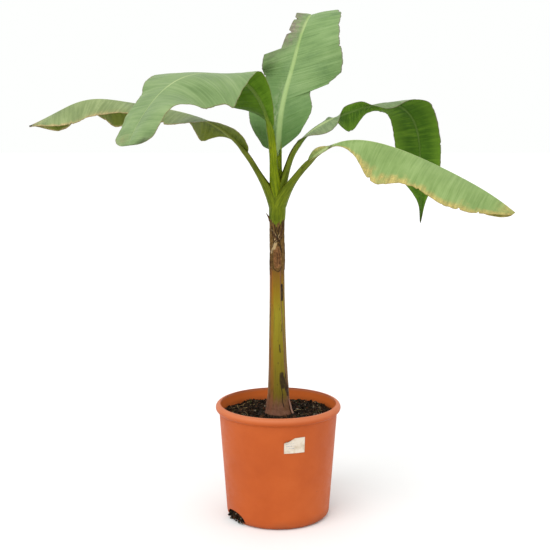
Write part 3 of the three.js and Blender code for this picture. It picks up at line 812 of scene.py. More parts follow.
class StemSkin:
    """The stem's surface as a grid: arc length s from the front, height z, relief and painted masks."""

    def __init__(self, sides=200, rows=430):
        z = np.linspace(STEM[0][0], CROWN - 2, rows)[:, None]
        self.a = circle(sides)[None] + 0 * z
        self.radius, self.axis = along(STEM, z), along(STEM, z, 2)
        # knots of the table rounded off
        for _ in range(3):
            for q in (self.radius, self.axis):
                q[1:-1] = (q[:-2] + q[1:-1] * 2 + q[2:]) / 4
        self.s = ((self.a + np.pi / 2 + np.pi) % (2 * np.pi) - np.pi) * NARROW
        self.z = z + 0 * self.a
        self.relief = self.radius * 0.022 * np.cos(3 * self.a + self.z / 90)
        kinds = ("green", "papery", "scar", "straw", "purple", "dark")
        self.masks = {kind: np.zeros_like(self.a) for kind in kinds}

    def add(self, kind, mask):
        self.masks[kind] = np.maximum(self.masks[kind], mask)

    def stroke(self, kind, line, width, depth, strength=1.0):
        wobble = 0.35 * noise(self.s / 1.6, self.z / 2.2, seed=31)
        mask = (1 - smooth(width * 0.45, width, near_line(self.s, self.z, line) + wobble)) * strength
        self.add(kind, mask)
        self.relief = self.relief - depth * mask

    def sheaths(self):
        """Leaf sheaths overlap: each has an edge that climbs round the stem."""
        s, z, half = self.s, self.z, 56.5
        for s0, slope, z0, high in SHEATHS:
            line = s0 + slope * (z - z0) + 1.2 * noise(z / 60, seed=int(z0 + s0 + 90))
            d = (s - line + half) % GIRTH - half
            self.relief += high * (smooth(-9, 0, d) * (d < 0) + (1 - smooth(0, 1.4, d)) * (d >= 0)) * 0.75
            self.add("purple", np.exp(-(((d + 0.6) / 1.6) ** 2)) * (1 - smooth(590, 620, z)))
            broken = 0.45 + 0.55 * smooth(-0.2, 0.5, noise(z / 14, seed=int(s0) + 70))
            self.add("dark", 0.75 * np.exp(-(((d - 0.5) / 0.7) ** 2)) * broken)

    def zones(self):
        s, z = self.s, self.z
        ragged = z + 7 * octaves(s / 8, z / 60, 0, 3, 21)
        papery = smooth(588, 598, ragged) * (1 - smooth(706, 724, ragged + 4 * np.cos(self.a)))
        self.masks["papery"] = papery
        foot = z + 10 * octaves(s / 9, z / 40, 0, 2, 22) - 12 * smooth(0, 25, s)
        self.add("purple", (1 - smooth(262, 300, foot)) * 0.9)
        green = 0.5 * blob(s, 0, 3, 0, 12, 1) - 0.55 * blob(s, 0, -15, 0, 9, 1)
        self.masks["green"] = np.clip(0.5 + green + 0.3 * octaves(s / 11, z / 120, 0, 2, 23), 0, 1)

    def front(self):
        """The dry sheath's folds and the oval scar below them."""
        s, z = self.s, self.z
        for line, width in FOLDS:
            self.stroke("dark", line, width, 0.5)
        self.add("dark", blob(s, z, 12.5, 634, 1.3, 3.5) + blob(s, z, 15, 702, 3, 16) * 0.9)
        for line, width in PALE_EDGES:
            self.stroke("straw", line, width, -0.5)
        oval = np.hypot((s - 1) / 10.5, (z - 628) / 29)
        self.masks["scar"] = 1 - smooth(0.8, 1.02, oval + 0.08 * noise(s / 2, z / 5, seed=33))
        self.relief += 0.9 * np.exp(-(((oval - 1) / 0.13) ** 2)) - 0.7 * (1 - smooth(0.5, 0.95, oval))
        self.relief += 0.35 * octaves(s / 3, z / 9, 0, 3, 34) * self.masks["papery"]

    def back(self, rng):
        """The same kind of folds round the back, from a seeded rule."""
        for _ in range(15):
            s0, z0 = rng.uniform(24, 90), rng.uniform(606, 706)
            lean, tall = rng.uniform(-9, 9), rng.uniform(14, 34)
            line = [(s0, z0), (s0 + lean * 0.4, z0 - tall * 0.5), (s0 + lean, z0 - tall)]
            self.stroke("dark", line, rng.uniform(0.8, 1.6), 0.45)
            s1 = s0 + rng.uniform(-8, 8)
            self.stroke("straw", [(s1, z0), (s1 + lean, z0 - tall * 0.6)], rng.uniform(0.9, 2.0), -0.4)
        wrapped = (self.s + GIRTH) % GIRTH
        for kind, strength in (("dark", 0.8), ("straw", 0.6)):
            extra = np.zeros_like(self.a)
            for _ in range(9):
                s0, z0 = rng.uniform(24, 90), rng.uniform(600, 708)
                spot = blob(wrapped, self.z, s0, z0, rng.uniform(1, 2.4), rng.uniform(4, 12))
                extra = np.maximum(extra, spot)
            self.add(kind, extra * strength * self.masks["papery"])

    def stains(self, rng):
        s, z = self.s, self.z
        self.stroke("dark", [(13, 562), (14, 545), (13, 527)], 4.5, 0.3)
        for line, width in STAINS:
            self.stroke("dark", line, width, 0.3, 0.9)
        for _ in range(70):
            s0, z0 = rng.uniform(-56, 56), rng.uniform(262, 600)
            spot = blob(s, z, s0, z0, rng.uniform(0.5, 1.0), rng.uniform(1, 4))
            self.add("dark", spot * rng.uniform(0.4, 0.85))
        self.relief -= 0.25 * self.masks["dark"]
        self.relief += 0.18 * octaves(s / 2.2, z / 40, 0, 3, 35)


def build_stem(rng):
    skin = StemSkin()
    skin.sheaths()
    skin.zones()
    skin.front()
    skin.back(rng)
    skin.stains(rng)
    points, faces = tube(around(skin.radius + skin.relief, skin.a, skin.z, skin.axis))
    values = {k: with_ends(v) for k, v in skin.masks.items()}
    piece("stem", "stem", points, faces, [stem_paint()], values=values, stands_for=["pseudostem"])


def strip(line, wide, out, curl):
    """A dry shred down the stem: line of (degrees, z), half width and stand-off in mm at even steps."""
    half_thick = 0.25
    t = np.linspace(0, 1, 40)
    deg, z = (np.interp(t, np.linspace(0, 1, len(line)), column) for column in zip(*line))
    radius, axis = along(STEM, z) + 0.8, along(STEM, z, 2)
    c = np.linspace(-1, 1, 9)[None]
    a = np.radians(deg)[:, None] + c * (through(wide, t) / radius)[:, None]
    uneven = 0.25 * noise(c * 3, z[:, None] / 6, seed=12)
    r = (radius + through(out, t))[:, None] + curl * np.abs(c) ** 2 + uneven
    z = z[:, None] + 1.2 * noise(c * 2.5, t[:, None] * 3, seed=13) * np.abs(c)
    points, faces, _ = sheet(*(around(r + side, a, z, axis[:, None]) for side in (half_thick, -half_thick)))
    return points, faces[:, ::-1]  # every shred's line runs down


def build_shreds():
    p = Paint("dry_sheath", 0.1)
    fibre = p.noise((420.0, 420.0, 40.0), 5, 0.7)
    blotch = p.noise(120.0, 4, 0.6)
    p.base = p.ramp(fibre, (0.32, (50, 32, 20)), (0.5, (98, 68, 44)), (0.68, (160, 126, 92)))
    p.lay(p.span(blotch, 0.5, 0.7, 0, 0.6), (60, 40, 30))
    brown = p.done(p.span(blotch, 0.3, 0.7, 0.7, 0.95), p.bump(fibre, 0.0006))
    p = Paint("pale_sheath", 0.25)
    fibre = p.noise((420.0, 420.0, 40.0), 5, 0.7)
    p.base = p.ramp(fibre, (0.3, (150, 104, 92)), (0.5, (186, 140, 118)), (0.7, (214, 176, 152)))
    pale = p.done(p.span(fibre, 0.3, 0.7, 0.6, 0.8), p.bump(fibre, 0.0005))
    # folded edges above the scar and round the back
    folds = [
        strip([(-118, 690), (-104, 678), (-88, 668)], (1.2, 2.2, 0.6), (0.3, 1.0, 0.6), 0.4),
        strip([(-52, 694), (-66, 680), (-84, 667)], (1.4, 2.0, 0.5), (0.3, 1.1, 0.5), 0.4),
        strip([(-150, 640), (-148, 610), (-152, 585)], (0.6, 1.4, 0.5), (0.4, 0.9, 0.3), 0.5),
        strip([(60, 700), (78, 680), (92, 640)], (1.5, 3.0, 0.6), (0.3, 1.8, 0.6), 0.8),
        strip([(150, 690), (130, 668), (118, 630)], (1.5, 2.6, 0.6), (0.3, 1.6, 0.5), 0.8),
        strip([(20, 660), (24, 625), (18, 596)], (0.8, 2.2, 0.6), (0.4, 1.3, 0.3), 0.6),
    ]
    piece("dry_shreds", "stem", *join(folds), [brown])
    at_foot = [
        strip([(-30, 288), (-26, 268), (-24, 251)], (1.5, 3.2, 3.0), (0.4, 2.0, 3.2), 0.8),
        strip([(160, 292), (154, 272), (150, 252)], (1.4, 3.4, 3.6), (0.3, 1.6, 2.4), 0.7),
    ]
    piece("base_shreds", "stem", *join(at_foot), [pale])

    # the small dried hook at the left of the crown
    t = np.linspace(0, 1, 22)
    line = np.stack([-19.5 - 9.0 * t + 1.2 * np.sin(3 * t), -4 + 0 * t, 712 + 17 * t**0.8 + 2 * t**3], -1)
    w = 3.4 * (1 - t) ** 0.6 + 0.5
    side = np.array([0, 1.0, 0]) + 0 * line
    up = np.cross(unit(np.gradient(line, axis=0)), side)
    piece("dry_hook", "stem", *tube(limb(line, up, side, w * 0.7, w * 1.5, 10)), [brown])


# ------------------------------------------------------------ leaves


RIB = {"back": 1.3, "front": 0.75, "left": 0.8, "right": 0.7, "low": 0.7}  # how stout each midrib is


class Leaf:
    """One leaf's line and its blade's two halves, by the same rule as the part's source."""

    def __init__(self, name, data):
        self.name = name
        self.__dict__.update(data)
        ahead = self.axes((np.arange(STEPS) + 0.5) / STEPS)[0]
        start = [*self.start, CROWN]
        self.points = np.concatenate([[start], start + np.cumsum(ahead, 0) * self.length / STEPS])

    def axes(self, u):
        lift, b = np.radians(through(self.lift, u)), np.radians(through(self.bearing, u))
        ahead = np.stack([np.cos(lift) * np.cos(b), np.cos(lift) * np.sin(b), np.sin(lift)], -1)
        left = np.stack([-np.sin(b), np.cos(b), 0 * b], -1)
        return ahead, left, np.cross(ahead, left)

    def line(self, u):
        x = np.clip(u, 0, 1) * STEPS
        i = np.minimum(x.astype(int), STEPS - 1)
        f = (x - i)[..., None]
        return self.points[i] * (1 - f) + self.points[i + 1] * f

    def half_width(self, half, t):
        base, tip = self.round
        a, b = np.clip(t / base, 0, 1), np.clip((1 - t) / tip, 0, 1)
        share = np.sqrt(1 - (1 - a) ** 2) * np.sqrt(1 - (1 - b) ** 2) * between(half["stations"], t, WIDE)
        if "tear" in half:
            at, before, after = half["tear"]
            share = share * np.where(t < at, before, after)
        pointed = (1 - 0.8 * smooth(0.965, 1, t)) * (1 - 0.6 * smooth(0, -0.02, t))
        return np.maximum(mix(6, 3.5, np.clip(t, 0, 1)) * pointed, self.width * share)

    def rib_radius(self, t):
        return RIB[self.name] * (4.6 * np.clip(1 - t, 0, 1) ** 0.75 + 0.8)

    def half_points(self, half, side, t, v, w, axes, centre):
        """Points (rows, cols, 3) of one half at shares v of its widths w, and the sheet's normals."""
        ahead, left, up = (q[:, None] for q in axes)
        rise, lean = (between(half["stations"], t, column)[:, None] for column in (RISE, LEAN))
        curl = np.radians(through(half["curl"], t))[:, None]
        a0 = np.radians(rise) - curl / 2
        k = np.where(np.abs(curl) < 1e-6, 1e-6, curl)
        out = (np.sin(a0 + k * v) - np.sin(a0)) / k
        high = (np.cos(a0) - np.cos(a0 + k * v)) / k
        shift = (0.06 * v + lean) * v
        p = centre[:, None]
        for direction, share in ((left, side * out), (up, high), (ahead, shift)):
            p = p + direction * (share * w)[..., None]
        a1 = a0 + curl * v
        return p, -side * np.sin(a1)[..., None] * left + np.cos(a1)[..., None] * up


# Marks on the blades. Each half has the tan margin's width as a share of the half
# width at even steps, nicks as (where, depth, width in mm), blobs as (kind, where,
# how far out, size along, size across, strength), and the darker green near its
# base, which is painted shade, as (strength, reach).
MARKS = {
    "back": dict(
        left=dict(
            tan=(0.02, 0.02, 0.03, 0.25, 0.3, 0.2), deep=(0.75, 0.6),
            nicks=[
                (0.2, 0.08, 4), (0.33, 0.1, 3), (0.53, 0.3, 5), (0.6, 0.35, 6), (0.66, 0.25, 4),
                (0.72, 0.2, 5),
            ],
            blobs=[
                ("dry", 0.54, 0.9, 0.07, 0.7, 1.1), ("dry", 0.66, 0.9, 0.08, 0.6, 1.0),
                ("pale", 0.14, 0.12, 0.14, 0.16, 0.9), ("pale", 0.03, 0.7, 0.08, 0.6, 0.45),
                ("dark", 0.4, 0.9, 0.08, 0.35, 0.4),
            ],
        ),
        right=dict(
            deep=(0.75, 0.36), tan=(0.02, 0.03, 0.02, 0.02, 0.02, 0.03),
            nicks=[(0.4, 0.04, 3), (0.62, 0.06, 4), (0.7, 0.1, 3)],
        ),
    ),
    "front": dict(
        left=dict(
            tan=(0.03, 0.02, 0.02, 0.02, 0.05), nicks=[(0.55, 0.05, 3), (0.75, 0.05, 3)],
            blobs=[("dark", 0.985, 0.9, 0.02, 0.25, 0.7)],
        ),
        right=dict(
            tan=(0.02, 0.04, 0.05, 0.04, 0.06),
            nicks=[(0.3, 0.06, 3), (0.42, 0.05, 4), (0.58, 0.1, 4), (0.8, 0.06, 3)],
            blobs=[("dry", 0.97, 0.5, 0.02, 0.4, 0.5)],
        ),
    ),
    "left": dict(
        left=dict(
            tan=(0.06, 0.05, 0.1, 0.14, 0.12, 0.2),
            nicks=[(0.35, 0.12, 5), (0.47, 0.06, 3), (0.63, 0.05, 3), (0.8, 0.08, 4)],
            blobs=[
                ("dry", 0.62, 0.95, 0.1, 0.14, 0.5), ("dry", 0.98, 0.3, 0.03, 0.9, 1),
                ("dark", 1, 0.5, 0.025, 2, 1.4),
            ],
        ),
        right=dict(
            tan=(0.04, 0.05, 0.08, 0.08, 0.15), nicks=[(0.3, 0.08, 4), (0.52, 0.1, 4), (0.7, 0.06, 4)],
            blobs=[("dry", 0.98, 0.3, 0.03, 0.9, 1), ("dark", 1, 0.5, 0.025, 2, 1.4)],
        ),
    ),
    "right": dict(
        left=dict(
            tan=(0.06, 0.04, 0.04, 0.04, 0.06), nicks=[(0.25, 0.06, 4), (0.5, 0.05, 3), (0.75, 0.07, 4)],
            blobs=[("dark", 1, 0.5, 0.05, 2, 1.1)],
        ),
        right=dict(
            tan=(0.12, 0.08, 0.05, 0.05, 0.06), nicks=[(0.2, 0.06, 4), (0.36, 0.08, 4), (0.68, 0.05, 3)],
            blobs=[("dry", 0.05, 0.8, 0.06, 0.4, 0.6), ("dark", 1, 0.5, 0.05, 2, 1.1)],
        ),
    ),
    "low": dict(
        left=dict(
            deep=(0.6, 0.2), tan=(0.06, 0.06, 0.1, 0.12, 0.1),
            nicks=[(0.3, 0.06, 4), (0.5, 0.08, 5), (0.75, 0.06, 4)],
            blobs=[
                ("dry", 0.99, 0.4, 0.03, 0.9, 0.9), ("dark", 0.13, 0.5, 0.012, 1.5, 1),
                ("dry", 0.08, 0.8, 0.05, 0.5, 0.8),
            ],
        ),
        right=dict(
            tan=(0.06, 0.2, 0.34, 0.2, 0.24, 0.3),
            nicks=[(0.38, 0.05, 5), (0.6, 0.05, 3), (0.78, 0.08, 4), (0.86, 0.1, 3)],
            blobs=[
                ("dry", 0.98, 0.5, 0.04, 0.9, 1), ("dry", 0.36, 1.0, 0.08, 0.15, 0.6),
                ("dark", 0.13, 0.5, 0.012, 1.5, 1), ("pale", 0.08, 0.5, 0.05, 1, 0.8),
            ],
        ),
    ),
}


class BladeHalf:
    """The mesh grid and the painted masks of one half of a blade."""

    def __init__(self, leaf, key, side, t, axes, centre, seed):
        self.half, self.marks = getattr(leaf, key), MARKS[leaf.name][key]
        self.side, self.t, self.seed = side, t, seed
        self.run = t[:, None] * leaf.length * (1 - leaf.blade)  # mm along the blade
        self.width = self.nibbled(leaf)[:, None]
        self.rib = np.minimum(leaf.rib_radius(t)[:, None], self.width * 0.4)
        near, cols = np.array([[0.3, 0.6, 0.9, 1.25]]), np.arange(1, 31)[None] / 30
        rib_share = self.rib / self.width
        self.v = np.concatenate([near * rib_share, mix(1.25 * rib_share, 1, cols)], 1)
        self.q = self.v * self.width / self.rib
        p, n = leaf.half_points(self.half, side, t, self.v, self.width, axes, centre)
        self.points = p + n * self.lift()[..., None]
        self.normals = n * mix(0.55, 0.28, smooth(0.6, 1, self.v))[..., None]
        self.masks = self.painted()

    def nibbled(self, leaf):
        """Half widths with a torn and nibbled margin."""
        full = leaf.half_width(self.half, self.t)
        width = full * (1 + 0.012 * octaves(self.run[:, 0] / 9, seed=self.seed + self.side) * (full > 12))
        for where, depth, wide in self.marks["nicks"]:
            d = np.abs(self.t - where) * leaf.length * (1 - leaf.blade)
            width = width * (1 - depth * np.maximum(0, 1 - d / wide) ** 1.3 * (full > 15))
        return width

    def lift(self):
        """The margin waves, the sheet is pleated along its side veins, and the rib lies in a groove."""
        v, run, side, seed = self.v, self.run, self.side, self.seed
        out = smooth(0.1, 1, v)
        waving = 3.2 * out**1.6 * np.minimum(1, self.width / 45)
        lift = waving * octaves(run / 52, 0.4 * v, side, 2, seed + 3)
        lift += 0.34 * noise(run / 4.6, v * 0.8, side, seed + 5) * smooth(0.03, 0.3, v)
        lift += 0.3 * noise(run / 11, v * 1.2, side, seed + 6) * smooth(0.03, 0.4, v)
        lift += 0.9 * octaves(run / 30, v * 2, side, 2, seed + 7) * out
        ridges = 0.45 * np.exp(-(((self.q - 1) / 0.35) ** 2)) - 0.9 * np.exp(-((self.q / 0.55) ** 2))
        return lift + self.rib / 5 * ridges

    def painted(self):
        t, v, run, side, seed = self.t[:, None], self.v, self.run, self.side, self.seed
        tan = through(self.marks["tan"], self.t)[:, None]
        ragged = 1 - v + 0.35 * tan * octaves(run / 14, v * 6, side, 3, seed + 9)
        masks = {k: np.zeros_like(v) for k in ("dry", "pale", "dark")}
        masks["dry"] = 1 - smooth(0, 1, ragged / np.maximum(tan, 0.015))
        for kind, t0, v0, dt, dv, strength in self.marks.get("blobs", ()):
            uneven = 1 + 0.5 * octaves(run / 8, v * 9, side, 3, seed + 11)
            masks[kind] = np.maximum(masks[kind], blob(t, v, t0, v0, dt, dv) * strength * uneven)
        # painted shade: the blade is a darker green near its base, fading out along it
        deep, reach = self.marks.get("deep", (0, 0.36))
        masks["deep"] = deep * (1 - smooth(0, reach, t + 0.05 * octaves(run / 25, v * 3, side, 2, seed + 13)))
        masks["onrib"] = 1 - smooth(0.75, 1.1, self.q)
        masks["across"] = side * v
        masks["along"] = run * MM + 0 * v
        masks["margin"] = (1 - v) * self.width * MM
        return masks


def build_blade(leaf, top_paint, low_paint, seed):
    tears = [half["tear"][0] for half in (leaf.left, leaf.right) if "tear" in half]
    close = np.array([-0.004, -0.0015, 0.0015, 0.004])  # extra rows at a tear
    t = np.unique(np.concatenate([np.linspace(-0.02, 1, 250), *(at + close for at in tears)]))
    u = mix(leaf.blade, 1, t)
    axes, centre = leaf.axes(u), leaf.line(u)
    left, right = (BladeHalf(leaf, *half, t, axes, centre, seed) for half in (("left", 1), ("right", -1)))
    up = axes[2][:, None]
    groove = np.minimum(leaf.rib_radius(t), 6)[:, None, None] / 5 * 0.9
    p = np.concatenate([left.points[:, ::-1], centre[:, None] - up * groove, right.points], 1)
    n = np.concatenate([left.normals[:, ::-1], up * 0.55, right.normals], 1)
    nothing = np.zeros((len(t), 1))
    middle = {"onrib": nothing + 1, "along": left.run * MM, "margin": nothing + 0.05}
    values = {}
    for k, mask in left.masks.items():
        one = np.concatenate([mask[:, ::-1], middle.get(k, nothing), right.masks[k]], 1).ravel()
        values[k] = np.concatenate([one, one])
    points, faces, slots = sheet(p + n, p - n)
    # the rows run tipward and the columns from left to right, so the top faces up
    corner = points[faces[0]]
    if np.dot(np.cross(corner[1] - corner[0], corner[2] - corner[1]), n[0, 0]) < 0:
        faces = faces[:, ::-1]
    nodes = [f"blade_{leaf.name}_inner", f"blade_{leaf.name}_outer"]
    piece(f"blade_{leaf.name}", "leaf", points, faces, [top_paint, low_paint], slots, values, nodes)


def channel(r, s):
    """Outer and inner x, y across a stalk at stations s from -1 to 1: round below, with raised edges."""
    theta = np.radians(122) * s
    x, y = r * 1.06 * np.sin(theta), -r * np.cos(theta)
    return x, y, x * 0.88, np.minimum(r * (-0.1 + 0.58 * s**2), y + r * 1.6)


def midrib(leaf, u, s):
    """Outer and inner x, y of the rib under the blade, which grows out of the stalk's U."""
    t = (u - leaf.blade) / (1 - leaf.blade)
    r = leaf.rib_radius(t)
    halves = (leaf.right, leaf.left)
    rises = (between(half["stations"], t, RISE) - through(half["curl"], t) / 2 for half in halves)
    rise = np.radians(np.where(s < 0, *rises))
    across = np.sin(np.radians(90) * s)
    x, edge = r * np.cos(rise) * across, r * np.sin(rise)
    y = -1.25 * r * np.cos(np.radians(90) * s) + (edge - 0.25) * across**2
    yi = np.minimum((edge - 0.4) * across**2 - r / 5 * 1.5 * (1 - across**2) - 0.2, y + r * 1.2)
    grown = smooth(0, 0.06, t)
    return [mix(a, b, grown) for a, b in zip(channel(STALK[-1][1], s), (x, y, x * 0.92, yi))]


def build_stalk(leaf, paint, order, seed):
    """One limb: a sheath wrapped round the stem, a U-shaped stalk and the midrib under the blade."""
    s = np.linspace(-1, 1, 15)
    start, up0 = leaf.line(np.array([0.0]))[0], leaf.axes(np.array([0.0]))[2][0]
    crown_radius, axis = along(STEM, CROWN), np.array([along(STEM, CROWN, 2), 0.0])
    bottom = start[:2] - up0[:2] * 6.5 - axis
    phi = math.atan2(bottom[1], bottom[0])
    stand = 0.3 + 0.3 * order  # later sheaths lie over earlier ones
    rings, run = [], []

    def sheath(z, centre, radius, spread, thick):
        a = phi + np.radians(spread) * s
        return [around(r, a, z, *centre) for r in (radius, radius - thick * (1 - 0.75 * np.abs(s) ** 3))]

    for z in np.linspace(SHEATH_FOOT, CROWN, 22)[:-1]:
        grow = smooth(690, 726, z + 6 * noise(z / 9, seed=seed))
        radius = along(STEM, z) - 1.6 + (1.6 + stand) * grow
        outer, inner = sheath(z, (along(STEM, z, 2), 0.0), radius, mix(165, 128, smooth(690, 742, z)), 2.2)
        rings.append(np.concatenate([outer, inner[::-1]]))
        run.append(z - CROWN)
    for u in (*np.linspace(0, leaf.blade, 60), *np.linspace(leaf.blade, 0.985, 150)[1:]):
        _, left, up = (q[0] for q in leaf.axes(np.array([u])))
        centre = leaf.line(np.array([u]))[0]
        if u <= leaf.blade:
            k = u / leaf.blade
            x, y, xi, yi = channel(along(STALK, k), s)
            x = x * (1 + 0.12 * smooth(0.55, 1, k) * np.abs(s) ** 6)  # wings just before the blade
        else:
            x, y, xi, yi = midrib(leaf, u, s)
        free = smooth(0.0, 0.15, u)  # from the sheath's shape to the stalk's own
        radius, spread, thick = crown_radius + stand - 1.5 * free, mix(128, 112, free), mix(2.2, 4.0, free)
        wrapped = sheath(centre[2], axis + (centre - start)[:2], radius, spread, thick)
        own = (centre + left * x[:, None] + up * y[:, None], centre + left * xi[:, None] + up * yi[:, None])
        outer, inner = (mix(a, b, free) for a, b in zip(wrapped, own))
        rings.append(np.concatenate([outer, inner[::-1]]))
        run.append(u * leaf.length)
    # long low ribs and slight unevenness
    rings, run = np.array(rings), np.array(run)[:, None]
    k = np.arange(2 * len(s))[None]
    bumps = 0.16 * noise(run / 22, k * 0.9, seed=seed) + 0.12 * noise(run / 7, k * 0.5, seed=seed + 1)
    rings = rings + unit(rings - rings.mean(1, keepdims=True)) * bumps[..., None]
    points, faces = tube(rings)
    corner = rings[0, 0]
    if np.dot(np.cross(rings[0, 1] - corner, rings[1, 0] - corner), corner - rings[0].mean(0)) < 0:
        faces = [f[::-1] for f in faces]
    across = np.concatenate([s, s[::-1]])[None]
    on_blade = smooth(leaf.blade * leaf.length - 20, leaf.blade * leaf.length + 60, run)
    worn = 0.5 + 0.5 * noise(run / 12, across * 3, seed=seed + 2)
    values = {
        "along": run * MM, "across": across, "outer": (k < len(s)) * 1.0, "blade": on_blade,
        "rim": (1 - on_blade) * smooth(0.86, 1, np.abs(across)) * worn, "spot": spots_on(leaf, run, across),
    }
    values = {key: with_ends(np.broadcast_to(v, rings.shape[:2])) for key, v in values.items()}
    nodes = [f"petiole_{leaf.name}"]
    piece(f"stalk_{leaf.name}", "leaf_stalk", points, faces, [paint], values=values, stands_for=nodes)


def spots_on(leaf, run, s):
    total = np.zeros(np.broadcast(run, s).shape)
    rng = np.random.default_rng(len(leaf.name) * 11 + 3)
    for _ in range(16):
        r0, s0 = rng.uniform(0, leaf.length * 0.9), rng.uniform(-1, 1)
        spot = blob(run, s, r0, s0, rng.uniform(1.5, 5), rng.uniform(0.04, 0.14))
        total = np.maximum(total, spot * rng.uniform(0.4, 0.9))
    return total


def stalk_paint(name, light, dark, under):
    p = Paint(f"stalk_{name}", 0.1)
    run, across = p.value("along"), p.value("across")
    v = p.node("ShaderNodeCombineXYZ", {0: run, 1: across, 2: p.value("outer")}).outputs[0]
    streak = p.noise((26.0, 7.0, 3.0), 5, 0.65, vector=v)
    fine = p.noise((60.0, 26.0, 3.0), 4, 0.7, vector=v)
    mottle = p.noise(120.0, 4, 0.6)
    p.base = p.blend(p.span(streak, 0.35, 0.68), dark, light)
    p.lay(p.span(fine, 0.5, 0.75, 0, 0.3), (176, 190, 96))
    # the wrapped foot of each stalk is a fresher green
    fresh = p.blend(p.span(streak, 0.35, 0.68), (92, 110, 4), (136, 152, 14))
    p.lay(p.span(run, 0.14, 0.0, 0, 0.7), fresh)
    below = p.blend(p.span(streak, 0.35, 0.65), under, p.blend(0.12, under, (220, 230, 160)))
    p.lay(p.value("blade"), below)
    p.lay(p.times(p.value("rim"), 0.75), (96, 72, 40))
    p.lay(p.times(p.value("spot"), p.span(mottle, 0.3, 0.5, 0.5, 1)), (40, 34, 14))
    normal = p.bump(fine, 0.00025, p.bump(streak, 0.0006))
    return p.done(p.span(mottle, 0.3, 0.7, 0.38, 0.52), normal)


def blade_paint(name, dark, mid, light, ribbed, dry, margin, under=False):
    """One side of a blade. Fine side veins run across it from the midrib, and broad ones every centimetre."""
    p = Paint(f"leaf_{name}", 0.06 if under else 0.25)
    run, across, onrib, worn = (p.value(key) for key in ("along", "across", "onrib", "dry"))
    v = p.node("ShaderNodeCombineXYZ", {0: run, 1: across, 2: 0.0}).outputs[0]
    fine = p.noise((520.0, 1.3, 1.0), 3, 0.6, vector=v)
    veins = p.noise((150.0, 0.8, 1.0), 4, 0.6, vector=v)
    bands = p.noise((22.0, 1.4, 1.0), 3, 0.5, vector=v)
    streaks = p.noise((90.0, 16.0, 1.0), 4, 0.7, vector=v)
    cloud = p.noise(16.0, 5, 0.6)
    speck = p.noise(330.0, 4, 0.7)
    lines = p.plus(p.times(veins, 0.34), p.times(fine, 0.2))
    tone = p.plus(lines, p.plus(p.times(bands, 0.22), p.times(cloud, 0.24)))
    p.base = p.ramp(tone, (0.38, dark), (0.5, mid), (0.62, light))
    if under:
        p.lay(p.span(p.math("ABSOLUTE", across), 0.35, 1, 0, 0.6), light)
    p.lay(p.span(speck, 0.6, 0.8, 0, 0.16), (70, 80, 40))
    p.lay(p.times(p.value("pale"), p.span(streaks, 0.38, 0.62)), (206, 214, 170))
    # painted shade: a darker, more saturated green near the blade's base
    p.lay(p.value("deep"), p.blend(0.75, dark, (66, 116, 30)))
    pale_rib = p.blend(0.05 if under else 0.3, ribbed, (226, 236, 180))
    p.lay(onrib, p.blend(p.span(cloud, 0.3, 0.7), ribbed, pale_rib))
    dried = p.plus(p.times(veins, 0.5), p.times(speck, 0.5))
    dried = p.ramp(dried, (0.35, shade(dry, 0.55)), (0.52, dry), (0.66, shade(dry, 1.4, 0.02)))
    p.lay(p.times(worn, p.span(p.plus(fine, speck), 0.7, 1.05, 0.55, 1)), dried)
    p.lay(p.times(p.value("dark"), 0.85, clamp=True), (44, 44, 28))
    rim = p.span(p.value("margin"), 0.0, 0.0016, 1, 0)
    p.lay(p.times(rim, p.span(speck, 0.36, 0.6, 0.35, 0.95)), margin)
    off_rib = p.math("SUBTRACT", 1.0, p.times(onrib, 0.8))
    normal = p.bump(p.times(veins, off_rib), 0.0014 if under else 0.0011)
    normal = p.bump(p.times(fine, off_rib), 0.00035, normal)
    rough = p.span(p.plus(cloud, p.times(worn, 0.5)), 0.3, 1.1, 0.55 if under else 0.44, 0.8)
    return p.done(rough, p.bump(speck, 0.00012, normal))


LOOKS = {
    # upper side: dark, mid, light, midrib, dry, margin; then the underside: dark, mid, light
    # the underside's colours are painted darker and yellower than the top's: painted shade, as the undersides
    # face the ground, and painted light shining through the blade
    "back": (
        (98, 132, 74), (130, 162, 98), (154, 182, 120), (160, 190, 116), (146, 140, 120), (120, 108, 82),
        (72, 112, 50), (92, 132, 58), (118, 154, 76),
    ),
    "front": (
        (106, 136, 78), (132, 160, 100), (154, 178, 120), (166, 190, 124), (150, 144, 98), (128, 120, 78),
        (64, 98, 16), (84, 122, 22), (108, 146, 38),
    ),
    "left": (
        (112, 130, 76), (136, 154, 96), (160, 176, 118), (172, 184, 120), (184, 166, 114), (144, 112, 72),
        (64, 78, 12), (88, 102, 22), (116, 128, 42),
    ),
    "right": (
        (98, 122, 78), (126, 148, 100), (152, 172, 120), (158, 180, 118), (140, 128, 104), (100, 84, 68),
        (54, 90, 20), (76, 114, 28), (112, 150, 44),
    ),
    "low": (
        (118, 148, 76), (140, 168, 96), (160, 186, 116), (176, 196, 120), (196, 178, 104), (160, 126, 70),
        (84, 98, 22), (106, 116, 36), (132, 132, 56),
    ),
}
STALKS = {  # light, dark, and the rib under the blade
    # the back stalk is painted brighter, making up for the shade it sits in between the front and the right
    # stalk: painted light
    "back": ((156, 176, 30), (112, 138, 10), (112, 146, 50)),
    "front": ((150, 166, 10), (104, 126, 2), (84, 116, 20)),
    "left": ((124, 130, 36), (82, 96, 14), (118, 128, 44)),
    "right": ((126, 138, 40), (86, 104, 18), (74, 112, 20)),
    "low": ((122, 130, 36), (82, 98, 14), (118, 128, 46)),
}
ORDER = {"back": 0, "front": 1, "right": 2, "left": 3, "low": 4}


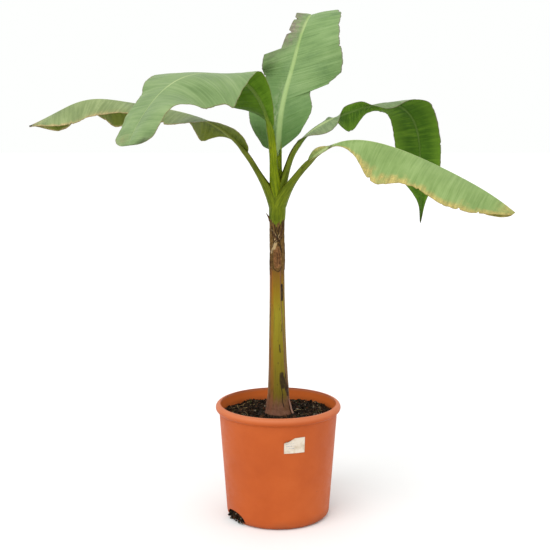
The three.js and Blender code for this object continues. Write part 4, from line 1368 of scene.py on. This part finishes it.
def build_leaves():
    for k, (name, data) in enumerate(LEAVES.items()):
        leaf = Leaf(name, data)
        upper, under, (light, dark, rib) = LOOKS[name][:6], LOOKS[name][6:], STALKS[name]
        top = blade_paint(f"{name}_upper", *upper)
        low = blade_paint(f"{name}_under", *under, rib, *upper[4:], under=True)
        build_blade(leaf, top, low, 100 + 20 * k)
        build_stalk(leaf, stalk_paint(name, light, dark, rib), ORDER[name], 300 + 20 * k)


# ------------------------------------------------------------ stage


# wide soft suns: degrees from straight down, compass bearing that they shine from, strength
SUNS = {"key": (42, -125, 1.5), "fill": (60, -40, 0.25)}
SUN_WIDTH = 50
# the camera, in metres in front of the stem and above the floor, radians, and mm for lens and sensor
CAMERA = dict(away=2.4, height=0.9384, tilt=0.14653, turn=0.0032, lens=67.24, sensor=36)


def build_stage():
    scene = bpy.context.scene
    scene.view_settings.view_transform = "Standard"
    scene.view_settings.look = "None"
    world = bpy.data.worlds.new("sky")
    scene.world = world
    world.use_nodes = True
    sky = world.node_tree.nodes["Background"].inputs
    sky[0].default_value, sky[1].default_value = (0.99, 1.0, 0.99, 1), 1.0

    me = bpy.data.meshes.new("floor")
    far = 30  # metres from the stem to the floor's edges
    me.from_pydata([(-far, -far, 0), (far, -far, 0), (far, far, 0), (-far, far, 0)], [], [(0, 1, 2, 3)])
    p = Paint("floor_pale", 0.2)
    n = p.noise(3.0, 3)
    p.base = p.ramp(n, (0.3, (0.84, 0.84, 0.84, 1)), (0.7, (0.87, 0.87, 0.87, 1)))
    me.materials.append(p.done(p.span(n, 0, 1, 0.85, 0.95), p.bump(n, 0.0002)))
    floor = add_object("floor", me)

    for name, (tilt, bearing, power) in SUNS.items():
        light = bpy.data.lights.new(name, "SUN")
        light.energy, light.angle = power, math.radians(SUN_WIDTH)
        add_object(name, light).rotation_euler = (math.radians(tilt), 0, math.radians(bearing + 90))

    cam = bpy.data.cameras.new("camera")
    cam.lens, cam.sensor_width, cam.clip_end = CAMERA["lens"], CAMERA["sensor"], 100
    scene.camera = add_object("camera", cam)
    scene.camera.location = (0, -CAMERA["away"], CAMERA["height"])
    scene.camera.rotation_euler = (math.pi / 2 - CAMERA["tilt"], 0, CAMERA["turn"])


build_stage()
build_pot()
build_soil(np.random.default_rng(20))
build_label()
build_stem(np.random.default_rng(7))
build_shreds()
build_leaves()
